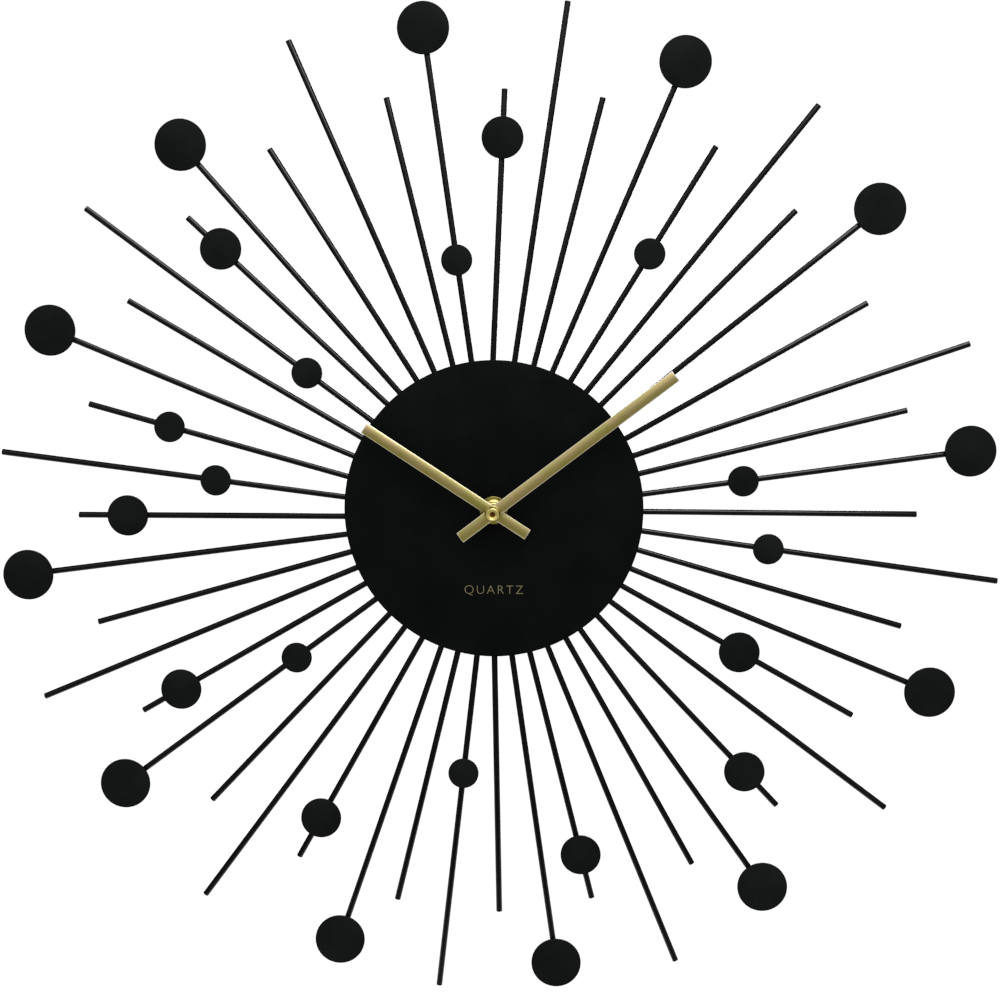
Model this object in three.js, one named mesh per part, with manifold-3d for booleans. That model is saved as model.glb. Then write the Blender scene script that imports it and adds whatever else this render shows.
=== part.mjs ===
// A sunburst wall clock: 48 wire rays with flat steel discs around a plain round dial, two baton
// hands, and a battery quartz movement with its motor and gear train.
//
// Millimetres, +Z up. The front faces -Y, and the origin is on the axis of the hands at the wall.
// Everything is drawn with the clock lying on its back: x to the right, y up the dial and z the
// height above the wall. The last lines of the file stand it up.

import * as THREE from "three";
import { mergeVertices } from "three/addons/utils/BufferGeometryUtils.js";
import Module from "manifold-3d";

// Sunburst: bearings are in degrees, clockwise from 12 o'clock.
const RAY_COUNT = 48;
const RAY_SPACING = 360 / RAY_COUNT;
const WIRE_DIAMETER = 3;
const RAY_HEIGHT = 15.3;
const LONG_RAY = 250.5;
const SHORT_RAY = 209;
const RAY_BEND_RADIUS = 46;
const DISC_THICKNESS = 1.2;
const DISC_SINK = 0.2;
const DISC_SIDES = 20;
const LARGE_DISC = { diameter: 25.4, radius: 237.75 };
const MEDIUM_DISC_DIAMETER = 20.5;
const SMALL_DISC_DIAMETER = 15.4;

// Each disc part-way along a ray: ray number, then how far its centre is from the axis.
const MEDIUM_DISCS = new Map([
  [0, 183], [16, 143], [18, 184.5], [22, 183.5], [28, 182.5], [32, 184], [36, 184], [42, 186.5],
]);
const SMALL_DISCS = new Map([
  [4, 148], [11, 125], [13, 138.5], [25, 136.5], [31, 125.5], [37, 140], [38, 167], [41, 115],
  [47, 125],
]);

// The rays are set by hand, so each leans a little off its even place: degrees at the dial's
// edge, then degrees at the tip, for rays 0 to 47.
const LEAN_AT_DIAL = [
  -0.25, 0.5, 0.5, 0.5, 0.75, 0.5, 0.5, 0.5, 1.5, 1.25, 1, 1.5,
  0.75, 0.75, 0.75, 1, 1, 1, 1, 2, 1, 1.25, 1, 0.5,
  -0.25, -1, -1, -1.75, -1.25, -0.75, -0.5, -0.25, -0.5, -1, -2, -2.5,
  -3, -3, -2.5, -1.75, -1.5, -1.5, -0.25, -1.25, -0.75, -0.75, -0.75, -1,
];
const LEAN_AT_TIP = [
  1.5, 0.75, -0.25, 0.5, 1.25, 1, 0, -0.75, 0.75, 3, 1.25, 0.25,
  0.5, 0.5, 1, 0.25, 0, 0, 1.5, 2.25, 1, 0.75, 1, -0.25,
  -0.75, -1, -1.25, -3, -1, -1, -1.25, 0.5, -0.25, -0.5, -1.25, -0.75,
  -1, -1, -0.5, -0.5, -0.25, -1, -1.25, -3, -1.75, -1, 0.5, -0.75,
];

// Rays that end further out or further in than the rest: ray number, then by how much.
const RAY_TRIM = new Map([
  [0, -2.5], [5, 3], [7, 2], [8, 1.5], [9, -2], [10, 1.5], [12, 1.5], [13, 3.5], [14, 3.5],
  [21, 2], [22, -1.5], [28, -2.5], [31, -1.5], [32, -2], [33, -1.5], [37, -2], [43, -1.5],
]);

// Frame behind the dial
const DIAL_RADIUS = 74.7;
const DIAL_REAR = 17;
const DIAL_THICKNESS = 1.2;
const HUB_RING_RADII = [48, 71];
const HUB_RING_WIRE = 3;
const TOUCHING_GAP = 0.3;
const BRACKET_WIDTH = 16;
const BRACKET_SHEET = 1.5;
const BRACKET_REAR = 1.5;
const BRACKET_LEGS = [49.5, 69.5];
const BRACKET_FOOT = 4;
const KEYHOLE_ENTRY = { y: 56.3, radius: 4.75 };
const KEYHOLE_SLOT = { y: 63, radius: 2.6 };

// Movement: a 56 mm case with a gear space above and a battery bay below
const CASE_HALF = 28;
const CASE_DEPTH = 16;
const CASE_WALL = 1.2;
const CASE_FRONT_WALL = 1.5;
const CASE_PARTITION = { low: -12, high: -10.8 };
const CASE_STUD = 2.5;
const CASE_POST = 5;
const COVER_THICKNESS = 1.5;
const COVER_GAP = 0.1;
const KNOB_WELL = { radius: 7, depth: 3.5, wall: 1 };
const MIDDLE_PLATE = { rear: 8.2, front: 9 };
const PIVOT_RADIUS = 0.5;
const PIVOT_HOLE_RADIUS = 0.75;
const PIVOT_HOLE_DEPTH = 0.7;
const STUD = { radius: 0.42, bore: 0.6, hubRear: 4.2, front: 6.2 };
const CENTRE_ARBOR = { rear: 6.35, front: 11.2, radius: 0.8 };
const CENTRE_HUB = { front: 8, radius: 1.3, bore: 0.7, boreFront: 7.2 };

// Fixing hardware on the axis
const BUSHING = { radius: 4, bore: 2.7, flange: 5.2, flangeRear: 13.8, front: 23.4 };
const RUBBER_WASHER_RADIUS = 10;
const BRASS_WASHER = { radius: 6.6, thickness: 0.5 };
const NUT_RADIUS = 7;

// Gears: tooth counts, modules and where the arbors stand
const MOTION_DISTANCE = 7.5;
const CANNON_TEETH = 12;
const MINUTE_WHEEL_TEETH = 36;
const MINUTE_PINION_TEETH = 10;
const HOUR_WHEEL_TEETH = 40;
const KNOB_TEETH = 12;
const TRAIN_DISTANCE = 9;
const CENTRE_WHEEL_TEETH = 64;
const THIRD_WHEEL_TEETH = 60;
const SECONDS_WHEEL_TEETH = 40;
const INTERMEDIATE_DISTANCE = 7.2;
const INTERMEDIATE_WHEEL_TEETH = 48;
const ROTOR_DISTANCE = 7;
const PINION_TEETH = 8;
const MOTION_DIRECTION = 110;
const THIRD_DIRECTION = 180;
const INTERMEDIATE_DIRECTION = 45;
const ROTOR_DIRECTION = 20;

// Hands: square-ended batons with upright sides and a crowned face
const HAND_WIDTH = 5.8;
const HAND_SIDE = 1.1;
const HAND_CROWN = 0.8;
const HOUR_HAND = { rear: 26.2, tip: 76, tail: 20.5, bearing: 303.25, eye: 2.35 };
const MINUTE_HAND = { rear: 29.8, tip: 112, tail: 20.5, bearing: 52.75, eye: 1.65 };
const HOUR_PIPE = { radius: 2.2, bore: 1.75, front: 27.4 };
const MINUTE_ARBOR_RADIUS = 1.5;
const MINUTE_THREAD = { radius: 1.1, front: 34.2 };
const CAP_NUT = { rear: 31.8, radius: 3.6, crest: 2.7, recess: 1.7, front: 36.4 };

// Battery: one AA cell
const CELL = { radius: 7.15, length: 49.2, nubRadius: 2.7, nub: 1.3, y: -19.5, z: 7.5 };

const finish = (color, roughness, metalness) =>
  new THREE.MeshStandardMaterial({ color, roughness, metalness });
const blackSteel = finish(0x141615, 0.5, 0.3);
const bareSteel = finish(0x9a9c9e, 0.35, 1);
const goldHand = finish(0xd9c27a, 0.32, 0.9);
const brass = finish(0xc9a24a, 0.2, 1);
const blackPlastic = finish(0x1b1b1d, 0.6, 0);
const whitePlastic = finish(0xe8e6df, 0.5, 0);
const amberPlastic = finish(0xb5651d, 0.45, 0);
const rubber = finish(0x222222, 0.9, 0);
const greenBoard = finish(0x1f5c33, 0.6, 0);
const copperWire = finish(0xb4622d, 0.35, 0.9);
const cellJacket = finish(0x3a5f8a, 0.4, 0.2);

const wasm = await Module();
wasm.setup();

const clock = new THREE.Group();
const radians = THREE.MathUtils.degToRad;

// ---- Solids ---------------------------------------------------------------------------------

// A three.js geometry as a manifold solid, so that it can be joined and cut.
function solid(geometry) {
  const bare = geometry.clone();
  bare.deleteAttribute("normal");
  bare.deleteAttribute("uv");
  const merged = mergeVertices(bare, 1e-4);
  return new wasm.Manifold(
    new wasm.Mesh({
      numProp: 3,
      vertProperties: merged.attributes.position.array,
      triVerts: new Uint32Array(merged.index.array),
    }),
  );
}

function addPiece(name, shape, material) {
  const mesh = shape.getMesh();
  const geometry = new THREE.BufferGeometry();
  geometry.setAttribute("position", new THREE.BufferAttribute(mesh.vertProperties, 3));
  geometry.setIndex(new THREE.BufferAttribute(mesh.triVerts, 1));
  const piece = new THREE.Mesh(geometry, material);
  piece.name = name;
  clock.add(piece);
}

function join(shapes) {
  return shapes.reduce((whole, shape) => whole.add(shape));
}

function cut(shape, tools) {
  return tools.reduce((left, tool) => left.subtract(tool), shape);
}

// A box between two heights, given its low and high corners in plan.
function block(lowX, lowY, highX, highY, rear, front) {
  const geometry = new THREE.BoxGeometry(highX - lowX, highY - lowY, front - rear);
  geometry.translate((lowX + highX) / 2, (lowY + highY) / 2, (rear + front) / 2);
  return solid(geometry);
}

// An upright round bar between two heights.
function bar(radius, rear, front, x = 0, y = 0, sides = 12) {
  const geometry = new THREE.CylinderGeometry(radius, radius, front - rear, sides);
  geometry.rotateX(Math.PI / 2);
  geometry.translate(x, y, (rear + front) / 2);
  return solid(geometry);
}

// A flat outline given a thickness between two heights.
function plate(outline, rear, front) {
  const geometry = new THREE.ExtrudeGeometry(outline, {
    depth: front - rear,
    bevelEnabled: false,
    curveSegments: 8,
  });
  geometry.translate(0, 0, rear);
  return solid(geometry);
}

// A turned piece: a profile of [radius, height] points spun about the axis of the hands.
function turned(profile, sides) {
  const points = profile.map(([radius, height]) => new THREE.Vector2(radius, height));
  const geometry = new THREE.LatheGeometry(points, sides);
  geometry.rotateX(Math.PI / 2);
  return solid(geometry);
}

// A flat ring between two heights.
function ring(outer, inner, rear, front, sides = 32) {
  return bar(outer, rear, front, 0, 0, sides).subtract(
    bar(inner, rear - 1, front + 1, 0, 0, sides),
  );
}

// The point at a distance from the axis on a clockwise bearing.
function onBearing(radius, bearing) {
  const angle = radians(bearing);
  return new THREE.Vector2(radius * Math.sin(angle), radius * Math.cos(angle));
}

// The point at a distance and an anticlockwise direction from another point.
function stepFrom(point, distance, direction) {
  const angle = radians(direction);
  return new THREE.Vector2(
    point.x + distance * Math.cos(angle),
    point.y + distance * Math.sin(angle),
  );
}

// ---- Sunburst -------------------------------------------------------------------------------

// A wire's centre line through its corners, sampled only at the corners.
class BentWire extends THREE.Curve {
  constructor(corners) {
    super();
    this.corners = corners;
  }

  cornerIndex(t) {
    return Math.round(t * (this.corners.length - 1));
  }

  getPoint(t) {
    return this.corners[this.cornerIndex(t)].clone();
  }

  getPointAt(t) {
    return this.getPoint(t);
  }

  getTangentAt(t) {
    const last = this.corners.length - 1;
    const index = this.cornerIndex(t);
    const here = this.corners[index];
    const before = this.corners[Math.max(index - 1, 0)];
    const after = this.corners[Math.min(index + 1, last)];
    const arriving = here.clone().sub(before).normalize();
    const leaving = after.clone().sub(here).normalize();
    return arriving.add(leaving).normalize();
  }
}

function wireAlong(corners, diameter, sides) {
  const section = new THREE.Shape();
  for (let side = 0; side < sides; side += 1) {
    const angle = ((side + 0.5) / sides) * 2 * Math.PI;
    section[side ? "lineTo" : "moveTo"](
      (diameter / 2) * Math.cos(angle),
      (diameter / 2) * Math.sin(angle),
    );
  }
  section.closePath();
  const geometry = new THREE.ExtrudeGeometry(section, {
    steps: corners.length - 1,
    extrudePath: new BentWire(corners),
    bevelEnabled: false,
  });
  return solid(geometry);
}

const endsInLargeDisc = (ray) => ray % 4 === 3;

// How far from the axis a ray ends, at its tip or in the centre of its large disc.
function endRadius(ray) {
  const trim = RAY_TRIM.get(ray) ?? 0;
  if (endsInLargeDisc(ray)) return LARGE_DISC.radius + trim;
  return (ray % 2 ? LONG_RAY : SHORT_RAY) + trim;
}

// A ray's straight line, as a function of the distance from the axis.
function rayLine(ray) {
  const even = ray * RAY_SPACING;
  const atDial = onBearing(DIAL_RADIUS, even + LEAN_AT_DIAL[ray]);
  const tip = onBearing(endRadius(ray), even + LEAN_AT_TIP[ray]);
  const reach = tip.length() - DIAL_RADIUS;
  return {
    tip,
    at: (radius) => atDial.clone().lerp(tip, (radius - DIAL_RADIUS) / reach),
  };
}

function discsOn(ray) {
  const discs = [];
  if (endsInLargeDisc(ray)) discs.push([LARGE_DISC.diameter, endRadius(ray)]);
  if (MEDIUM_DISCS.has(ray)) discs.push([MEDIUM_DISC_DIAMETER, MEDIUM_DISCS.get(ray)]);
  if (SMALL_DISCS.has(ray)) discs.push([SMALL_DISC_DIAMETER, SMALL_DISCS.get(ray)]);
  return discs;
}

// The round bend that joins the inner ends of two neighbouring rays.
function bendBetween(from, to) {
  const bendSteps = 4;
  const middle = from.clone().lerp(to, 0.5);
  const across = from.clone().sub(middle);
  const inward = middle.clone().normalize().multiplyScalar(-across.length());
  const points = [];
  for (let step = 0; step <= bendSteps; step += 1) {
    const angle = (Math.PI * step) / bendSteps;
    points.push(
      middle
        .clone()
        .addScaledVector(across, Math.cos(angle))
        .addScaledVector(inward, Math.sin(angle)),
    );
  }
  return points;
}

// Two neighbouring rays are one wire, bent double behind the dial, with its discs welded on.
function buildRayPair(pair) {
  const short = rayLine(2 * pair);
  const long = rayLine(2 * pair + 1);
  const bend = bendBetween(short.at(RAY_BEND_RADIUS), long.at(RAY_BEND_RADIUS));
  const corners = [short.tip, ...bend, long.tip].map(
    (point) => new THREE.Vector3(point.x, point.y, RAY_HEIGHT),
  );
  const wireSides = 8;
  const wire = wireAlong(corners, WIRE_DIAMETER, wireSides);
  const wireFront = RAY_HEIGHT + (WIRE_DIAMETER / 2) * Math.cos(Math.PI / wireSides);
  const discRear = wireFront - DISC_SINK;
  const discs = [];
  for (const ray of [2 * pair, 2 * pair + 1]) {
    for (const [diameter, radius] of discsOn(ray)) {
      const centre = rayLine(ray).at(radius);
      discs.push(bar(diameter / 2, discRear, discRear + DISC_THICKNESS, centre.x, centre.y, DISC_SIDES));
    }
  }
  const name = `ray_pair_${String(pair + 1).padStart(2, "0")}`;
  addPiece(name, join([wire, ...discs]), blackSteel);
}

function buildHubRing(name, radius) {
  const height = RAY_HEIGHT - WIRE_DIAMETER / 2 - TOUCHING_GAP - HUB_RING_WIRE / 2;
  const geometry = new THREE.TorusGeometry(radius, HUB_RING_WIRE / 2, 6, 40);
  geometry.translate(0, 0, height);
  addPiece(name, solid(geometry), blackSteel);
}

// A top-hat strap across the hub rings: its back plate has the keyhole that hangs on a screw.
function buildBracket() {
  const ringRear = RAY_HEIGHT - WIRE_DIAMETER / 2 - TOUCHING_GAP - HUB_RING_WIRE;
  const footFront = ringRear - TOUCHING_GAP;
  const footRear = footFront - BRACKET_SHEET;
  const plateFront = BRACKET_REAR + BRACKET_SHEET;
  const [low, high] = BRACKET_LEGS;
  const half = BRACKET_WIDTH / 2;
  const strap = join([
    block(-half, low, half, high, BRACKET_REAR, plateFront),
    block(-half, low, half, low + BRACKET_SHEET, BRACKET_REAR, footFront),
    block(-half, high - BRACKET_SHEET, half, high, BRACKET_REAR, footFront),
    block(-half, low - BRACKET_FOOT, half, low + BRACKET_SHEET, footRear, footFront),
    block(-half, high - BRACKET_SHEET, half, high + BRACKET_FOOT, footRear, footFront),
  ]);
  const rear = BRACKET_REAR - 1;
  const front = plateFront + 1;
  const slotHalf = KEYHOLE_SLOT.radius;
  addPiece(
    "hanging_bracket",
    cut(strap, [
      bar(KEYHOLE_ENTRY.radius, rear, front, 0, KEYHOLE_ENTRY.y, 24),
      bar(KEYHOLE_SLOT.radius, rear, front, 0, KEYHOLE_SLOT.y, 16),
      block(-slotHalf, KEYHOLE_ENTRY.y, slotHalf, KEYHOLE_SLOT.y, rear, front),
    ]),
    blackSteel,
  );
}

// ---- Gears ----------------------------------------------------------------------------------

// Wheels have pointed gaps and pinions have thin leaves with wide ones, so that a pair runs free
// at every angle. Heights are in modules and half widths are shares of the pitch.
const WHEEL_TOOTH = { tip: 0.8, root: 1.3, halfAtTip: 0.06, halfAtRoot: 0.5 };
const PINION_LEAF = { tip: 0.8, root: 1.15, halfAtTip: 0.08, halfAtRoot: 0.15 };
const MOST_PINION_TEETH = 20;

// A gear with one tooth pointing in the given direction from its centre.
function gear({ teeth, module: toothModule, level, centre, tooth }) {
  const isPinion = teeth <= MOST_PINION_TEETH;
  const form = isPinion ? PINION_LEAF : WHEEL_TOOTH;
  const pitchRadius = (teeth * toothModule) / 2;
  const tipRadius = pitchRadius + form.tip * toothModule;
  const rootRadius = pitchRadius - form.root * toothModule;
  const toothAngle = (2 * Math.PI) / teeth;
  const corners = [
    [rootRadius, -form.halfAtRoot],
    [tipRadius, -form.halfAtTip],
    [tipRadius, form.halfAtTip],
  ];
  if (isPinion) corners.push([rootRadius, form.halfAtRoot]);
  const points = [];
  for (let index = 0; index < teeth; index += 1) {
    const middle = radians(tooth) + index * toothAngle;
    for (const [radius, share] of corners) {
      const angle = middle + share * toothAngle;
      points.push(
        new THREE.Vector2(
          centre.x + radius * Math.cos(angle),
          centre.y + radius * Math.sin(angle),
        ),
      );
    }
  }
  return plate(new THREE.Shape(points), level[0], level[1]);
}

// Where the arbors stand, seen from the front.
const axis = new THREE.Vector2(0, 0);
const minuteWheelAt = stepFrom(axis, MOTION_DISTANCE, MOTION_DIRECTION);
const knobAt = stepFrom(axis, 2 * MOTION_DISTANCE, MOTION_DIRECTION);
const thirdAt = stepFrom(axis, TRAIN_DISTANCE, THIRD_DIRECTION);
const intermediateAt = stepFrom(axis, INTERMEDIATE_DISTANCE, INTERMEDIATE_DIRECTION);
const rotorAt = stepFrom(intermediateAt, ROTOR_DISTANCE, ROTOR_DIRECTION);

const moduleFor = (distance, teethA, teethB) => (2 * distance) / (teethA + teethB);
const cannonModule = moduleFor(MOTION_DISTANCE, CANNON_TEETH, MINUTE_WHEEL_TEETH);
const hourModule = moduleFor(MOTION_DISTANCE, MINUTE_PINION_TEETH, HOUR_WHEEL_TEETH);
const centreModule = moduleFor(TRAIN_DISTANCE, PINION_TEETH, CENTRE_WHEEL_TEETH);
const thirdModule = moduleFor(TRAIN_DISTANCE, PINION_TEETH, THIRD_WHEEL_TEETH);
const secondsModule = moduleFor(INTERMEDIATE_DISTANCE, PINION_TEETH, SECONDS_WHEEL_TEETH);
const rotorModule = moduleFor(ROTOR_DISTANCE, PINION_TEETH, INTERMEDIATE_WHEEL_TEETH);

// A wheel points a tooth at its pinion, and the pinion points a gap back at it.
const gapTowards = (direction, teeth) => direction + 180 / teeth;

// Heights of the gear levels, rear and front of each
const LEVEL = {
  seconds: [3.4, 4],
  intermediatePinion: [3.1, 4.3],
  third: [5.4, 5.95],
  intermediate: [4.65, 5.05],
  secondsPinion: [5.2, 6.15],
  rotorPinion: [4.3, 5.3],
  centre: [6.9, 7.6],
  thirdPinion: [6.6, 7.9],
  cannon: [10.3, 11.9],
  minute: [10.7, 11.4],
  minutePinion: [12, 13.4],
  hour: [12.3, 13.1],
};
const REAR_PIVOT_END = 0.9;
const PLATE_PIVOT_END = 8.9;
const FRONT_PIVOT_END = 14.9;

function pivot(at, rear, front) {
  return bar(PIVOT_RADIUS, rear, front, at.x, at.y, 8);
}

function buildDriveTrain() {
  const rotorMagnet = bar(2.2, 2, 4, rotorAt.x, rotorAt.y, 16);
  const rotorPinion = gear({
    teeth: PINION_TEETH,
    module: rotorModule,
    level: LEVEL.rotorPinion,
    centre: rotorAt,
    tooth: gapTowards(ROTOR_DIRECTION + 180, PINION_TEETH),
  });
  const rotorArbor = pivot(rotorAt, REAR_PIVOT_END, PLATE_PIVOT_END);
  addPiece("rotor", join([rotorMagnet, rotorPinion, rotorArbor]), bareSteel);

  const intermediateWheel = gear({
    teeth: INTERMEDIATE_WHEEL_TEETH,
    module: rotorModule,
    level: LEVEL.intermediate,
    centre: intermediateAt,
    tooth: ROTOR_DIRECTION,
  });
  const intermediatePinion = gear({
    teeth: PINION_TEETH,
    module: secondsModule,
    level: LEVEL.intermediatePinion,
    centre: intermediateAt,
    tooth: gapTowards(INTERMEDIATE_DIRECTION + 180, PINION_TEETH),
  });
  const hubFront = LEVEL.intermediate[1];
  const intermediateHub = bar(1, STUD.hubRear, hubFront, intermediateAt.x, intermediateAt.y);
  const studBore = bar(STUD.bore, 0, hubFront + 1, intermediateAt.x, intermediateAt.y);
  addPiece(
    "intermediate_wheel",
    join([intermediateWheel, intermediatePinion, intermediateHub]).subtract(studBore),
    whitePlastic,
  );

  const secondsWheel = gear({
    teeth: SECONDS_WHEEL_TEETH,
    module: secondsModule,
    level: LEVEL.seconds,
    centre: axis,
    tooth: INTERMEDIATE_DIRECTION,
  });
  const secondsPinion = gear({
    teeth: PINION_TEETH,
    module: thirdModule,
    level: LEVEL.secondsPinion,
    centre: axis,
    tooth: gapTowards(THIRD_DIRECTION, PINION_TEETH),
  });
  const secondsArbor = pivot(axis, REAR_PIVOT_END, CENTRE_HUB.boreFront - 0.3);
  addPiece("seconds_wheel", join([secondsWheel, secondsPinion, secondsArbor]), whitePlastic);

  const thirdWheel = gear({
    teeth: THIRD_WHEEL_TEETH,
    module: thirdModule,
    level: LEVEL.third,
    centre: thirdAt,
    tooth: THIRD_DIRECTION + 180,
  });
  const thirdPinion = gear({
    teeth: PINION_TEETH,
    module: centreModule,
    level: LEVEL.thirdPinion,
    centre: thirdAt,
    tooth: gapTowards(THIRD_DIRECTION + 180, PINION_TEETH),
  });
  const thirdArbor = pivot(thirdAt, REAR_PIVOT_END, PLATE_PIVOT_END);
  addPiece("third_wheel", join([thirdWheel, thirdPinion, thirdArbor]), whitePlastic);

  const centreWheel = gear({
    teeth: CENTRE_WHEEL_TEETH,
    module: centreModule,
    level: LEVEL.centre,
    centre: axis,
    tooth: THIRD_DIRECTION,
  });
  const centreHub = bar(CENTRE_HUB.radius, CENTRE_ARBOR.rear, CENTRE_HUB.front);
  const centreArbor = bar(CENTRE_ARBOR.radius, CENTRE_ARBOR.rear, CENTRE_ARBOR.front, 0, 0, 8);
  const pivotBore = bar(CENTRE_HUB.bore, CENTRE_ARBOR.rear - 1, CENTRE_HUB.boreFront);
  addPiece(
    "centre_wheel",
    join([centreWheel, centreHub, centreArbor]).subtract(pivotBore),
    brass,
  );
}

function buildMotionWork() {
  const cannonPinion = gear({
    teeth: CANNON_TEETH,
    module: cannonModule,
    level: LEVEL.cannon,
    centre: axis,
    tooth: gapTowards(MOTION_DIRECTION, CANNON_TEETH),
  });
  const minuteArbor = bar(MINUTE_ARBOR_RADIUS, LEVEL.cannon[0], CAP_NUT.rear - 0.2, 0, 0, 12);
  const minuteThread = bar(MINUTE_THREAD.radius, CAP_NUT.rear - 1, MINUTE_THREAD.front, 0, 0, 12);
  const clutchBore = bar(1, LEVEL.cannon[0] - 1, 11.6, 0, 0, 12);
  addPiece(
    "cannon_pinion",
    join([cannonPinion, minuteArbor, minuteThread]).subtract(clutchBore),
    bareSteel,
  );

  const minuteWheel = gear({
    teeth: MINUTE_WHEEL_TEETH,
    module: cannonModule,
    level: LEVEL.minute,
    centre: minuteWheelAt,
    tooth: MOTION_DIRECTION + 180,
  });
  const minutePinion = gear({
    teeth: MINUTE_PINION_TEETH,
    module: hourModule,
    level: LEVEL.minutePinion,
    centre: minuteWheelAt,
    tooth: gapTowards(MOTION_DIRECTION + 180, MINUTE_PINION_TEETH),
  });
  const minuteWheelArbor = pivot(minuteWheelAt, MIDDLE_PLATE.rear + 0.2, FRONT_PIVOT_END);
  addPiece("minute_wheel", join([minuteWheel, minutePinion, minuteWheelArbor]), whitePlastic);

  const hourWheel = gear({
    teeth: HOUR_WHEEL_TEETH,
    module: hourModule,
    level: LEVEL.hour,
    centre: axis,
    tooth: MOTION_DIRECTION,
  });
  const hourPipe = bar(HOUR_PIPE.radius, LEVEL.hour[0], HOUR_PIPE.front, 0, 0, 16);
  const hourBore = bar(HOUR_PIPE.bore, LEVEL.hour[0] - 1, HOUR_PIPE.front + 1, 0, 0, 16);
  addPiece("hour_wheel", join([hourWheel, hourPipe]).subtract(hourBore), whitePlastic);
}

// The knob sits in a well in the back cover and turns the minute wheel.
function buildSettingKnob() {
  const grip = gear({
    teeth: 20,
    module: 0.55,
    level: [0.6, 3.1],
    centre: knobAt,
    tooth: 0,
  });
  const shaft = bar(1.2, 3, LEVEL.cannon[1], knobAt.x, knobAt.y, 12);
  const pinion = gear({
    teeth: KNOB_TEETH,
    module: cannonModule,
    level: LEVEL.cannon,
    centre: knobAt,
    tooth: gapTowards(MOTION_DIRECTION + 180, KNOB_TEETH),
  });
  const frontPivot = pivot(knobAt, LEVEL.cannon[1] - 0.2, FRONT_PIVOT_END);
  addPiece("setting_knob", join([grip, shaft, pinion, frontPivot]), blackPlastic);
}

// ---- Movement case and electrics ------------------------------------------------------------

const cavity = {
  lowX: -CASE_HALF + CASE_WALL,
  highX: CASE_HALF - CASE_WALL,
  lowY: CASE_PARTITION.high,
  highY: CASE_HALF - CASE_WALL,
  front: CASE_DEPTH - CASE_FRONT_WALL,
};
const bayHigh = CASE_PARTITION.low;
const bayLow = -CASE_HALF + CASE_WALL;

function corners() {
  const places = [];
  for (const right of [false, true]) {
    for (const top of [false, true]) places.push({ right, top });
  }
  return places;
}

// A square post in one corner of the gear space.
function cornerPost({ right, top }, size, rear, front) {
  const lowX = right ? cavity.highX - size : cavity.lowX;
  const lowY = top ? cavity.highY - size : cavity.lowY;
  return block(lowX, lowY, lowX + size, lowY + size, rear, front);
}

function buildCase() {
  const shell = block(-CASE_HALF, -CASE_HALF, CASE_HALF, CASE_HALF, 0, CASE_DEPTH);
  const gearSpace = block(cavity.lowX, cavity.lowY, cavity.highX, cavity.highY, -1, cavity.front);
  const bay = block(cavity.lowX, bayLow, cavity.highX, bayHigh, -1, CASE_DEPTH - CASE_WALL);
  const posts = corners().flatMap((corner) => [
    cornerPost(corner, CASE_STUD, COVER_THICKNESS, cavity.front),
    cornerPost(corner, CASE_POST, MIDDLE_PLATE.front, cavity.front),
  ]);
  const hollow = join([cut(shell, [gearSpace, bay]), ...posts]);
  const pivotHoles = [minuteWheelAt, knobAt].map((at) =>
    bar(PIVOT_HOLE_RADIUS, cavity.front - 1, cavity.front + PIVOT_HOLE_DEPTH, at.x, at.y),
  );
  const bushingHole = bar(BUSHING.radius + 0.1, cavity.front - 1, CASE_DEPTH + 1, 0, 0, 24);
  addPiece("movement_case", cut(hollow, [bushingHole, ...pivotHoles]), blackPlastic);
}

function buildBackCover() {
  const well = KNOB_WELL;
  const sheet = block(
    cavity.lowX + COVER_GAP,
    cavity.lowY + COVER_GAP,
    cavity.highX - COVER_GAP,
    cavity.highY - COVER_GAP,
    0,
    COVER_THICKNESS,
  );
  const cup = bar(well.radius + well.wall, 0, well.depth + well.wall, knobAt.x, knobAt.y, 24);
  const recess = bar(well.radius, -1, well.depth, knobAt.x, knobAt.y, 24);
  const shaftHole = bar(1.5, -1, well.depth + 2, knobAt.x, knobAt.y);
  const stud = bar(STUD.radius, 1, STUD.front, intermediateAt.x, intermediateAt.y, 8);
  const pivotHoles = [axis, thirdAt, rotorAt].map((at) =>
    bar(PIVOT_HOLE_RADIUS, PIVOT_HOLE_DEPTH, COVER_THICKNESS + 1, at.x, at.y),
  );
  addPiece(
    "movement_back_cover",
    cut(join([sheet, cup, stud]), [recess, shaftHole, ...pivotHoles]),
    blackPlastic,
  );
}

function buildMiddlePlate() {
  const { rear, front } = MIDDLE_PLATE;
  const margin = COVER_GAP;
  const sheet = block(
    cavity.lowX + margin,
    cavity.lowY + margin,
    cavity.highX - margin,
    cavity.highY - margin,
    rear,
    front,
  );
  const notches = corners().map((corner) =>
    cornerPost(corner, CASE_STUD + margin, rear - 1, front + 1),
  );
  const pivotHoles = [thirdAt, rotorAt, minuteWheelAt].map((at) =>
    bar(PIVOT_HOLE_RADIUS, rear - 1, front + 1, at.x, at.y),
  );
  const arborHole = bar(1.2, rear - 1, front + 1);
  const knobHole = bar(1.5, rear - 1, front + 1, knobAt.x, knobAt.y);
  addPiece("middle_plate", cut(sheet, [...notches, ...pivotHoles, arborHole, knobHole]), whitePlastic);
}

// The step motor: a flat stator around the rotor, with a coil on its upper limb.
const STATOR = { rear: 2.2, front: 3.2, left: 7.2, right: 22.2, low: 3.6, top: 22.5, limb: 3.4 };

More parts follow.
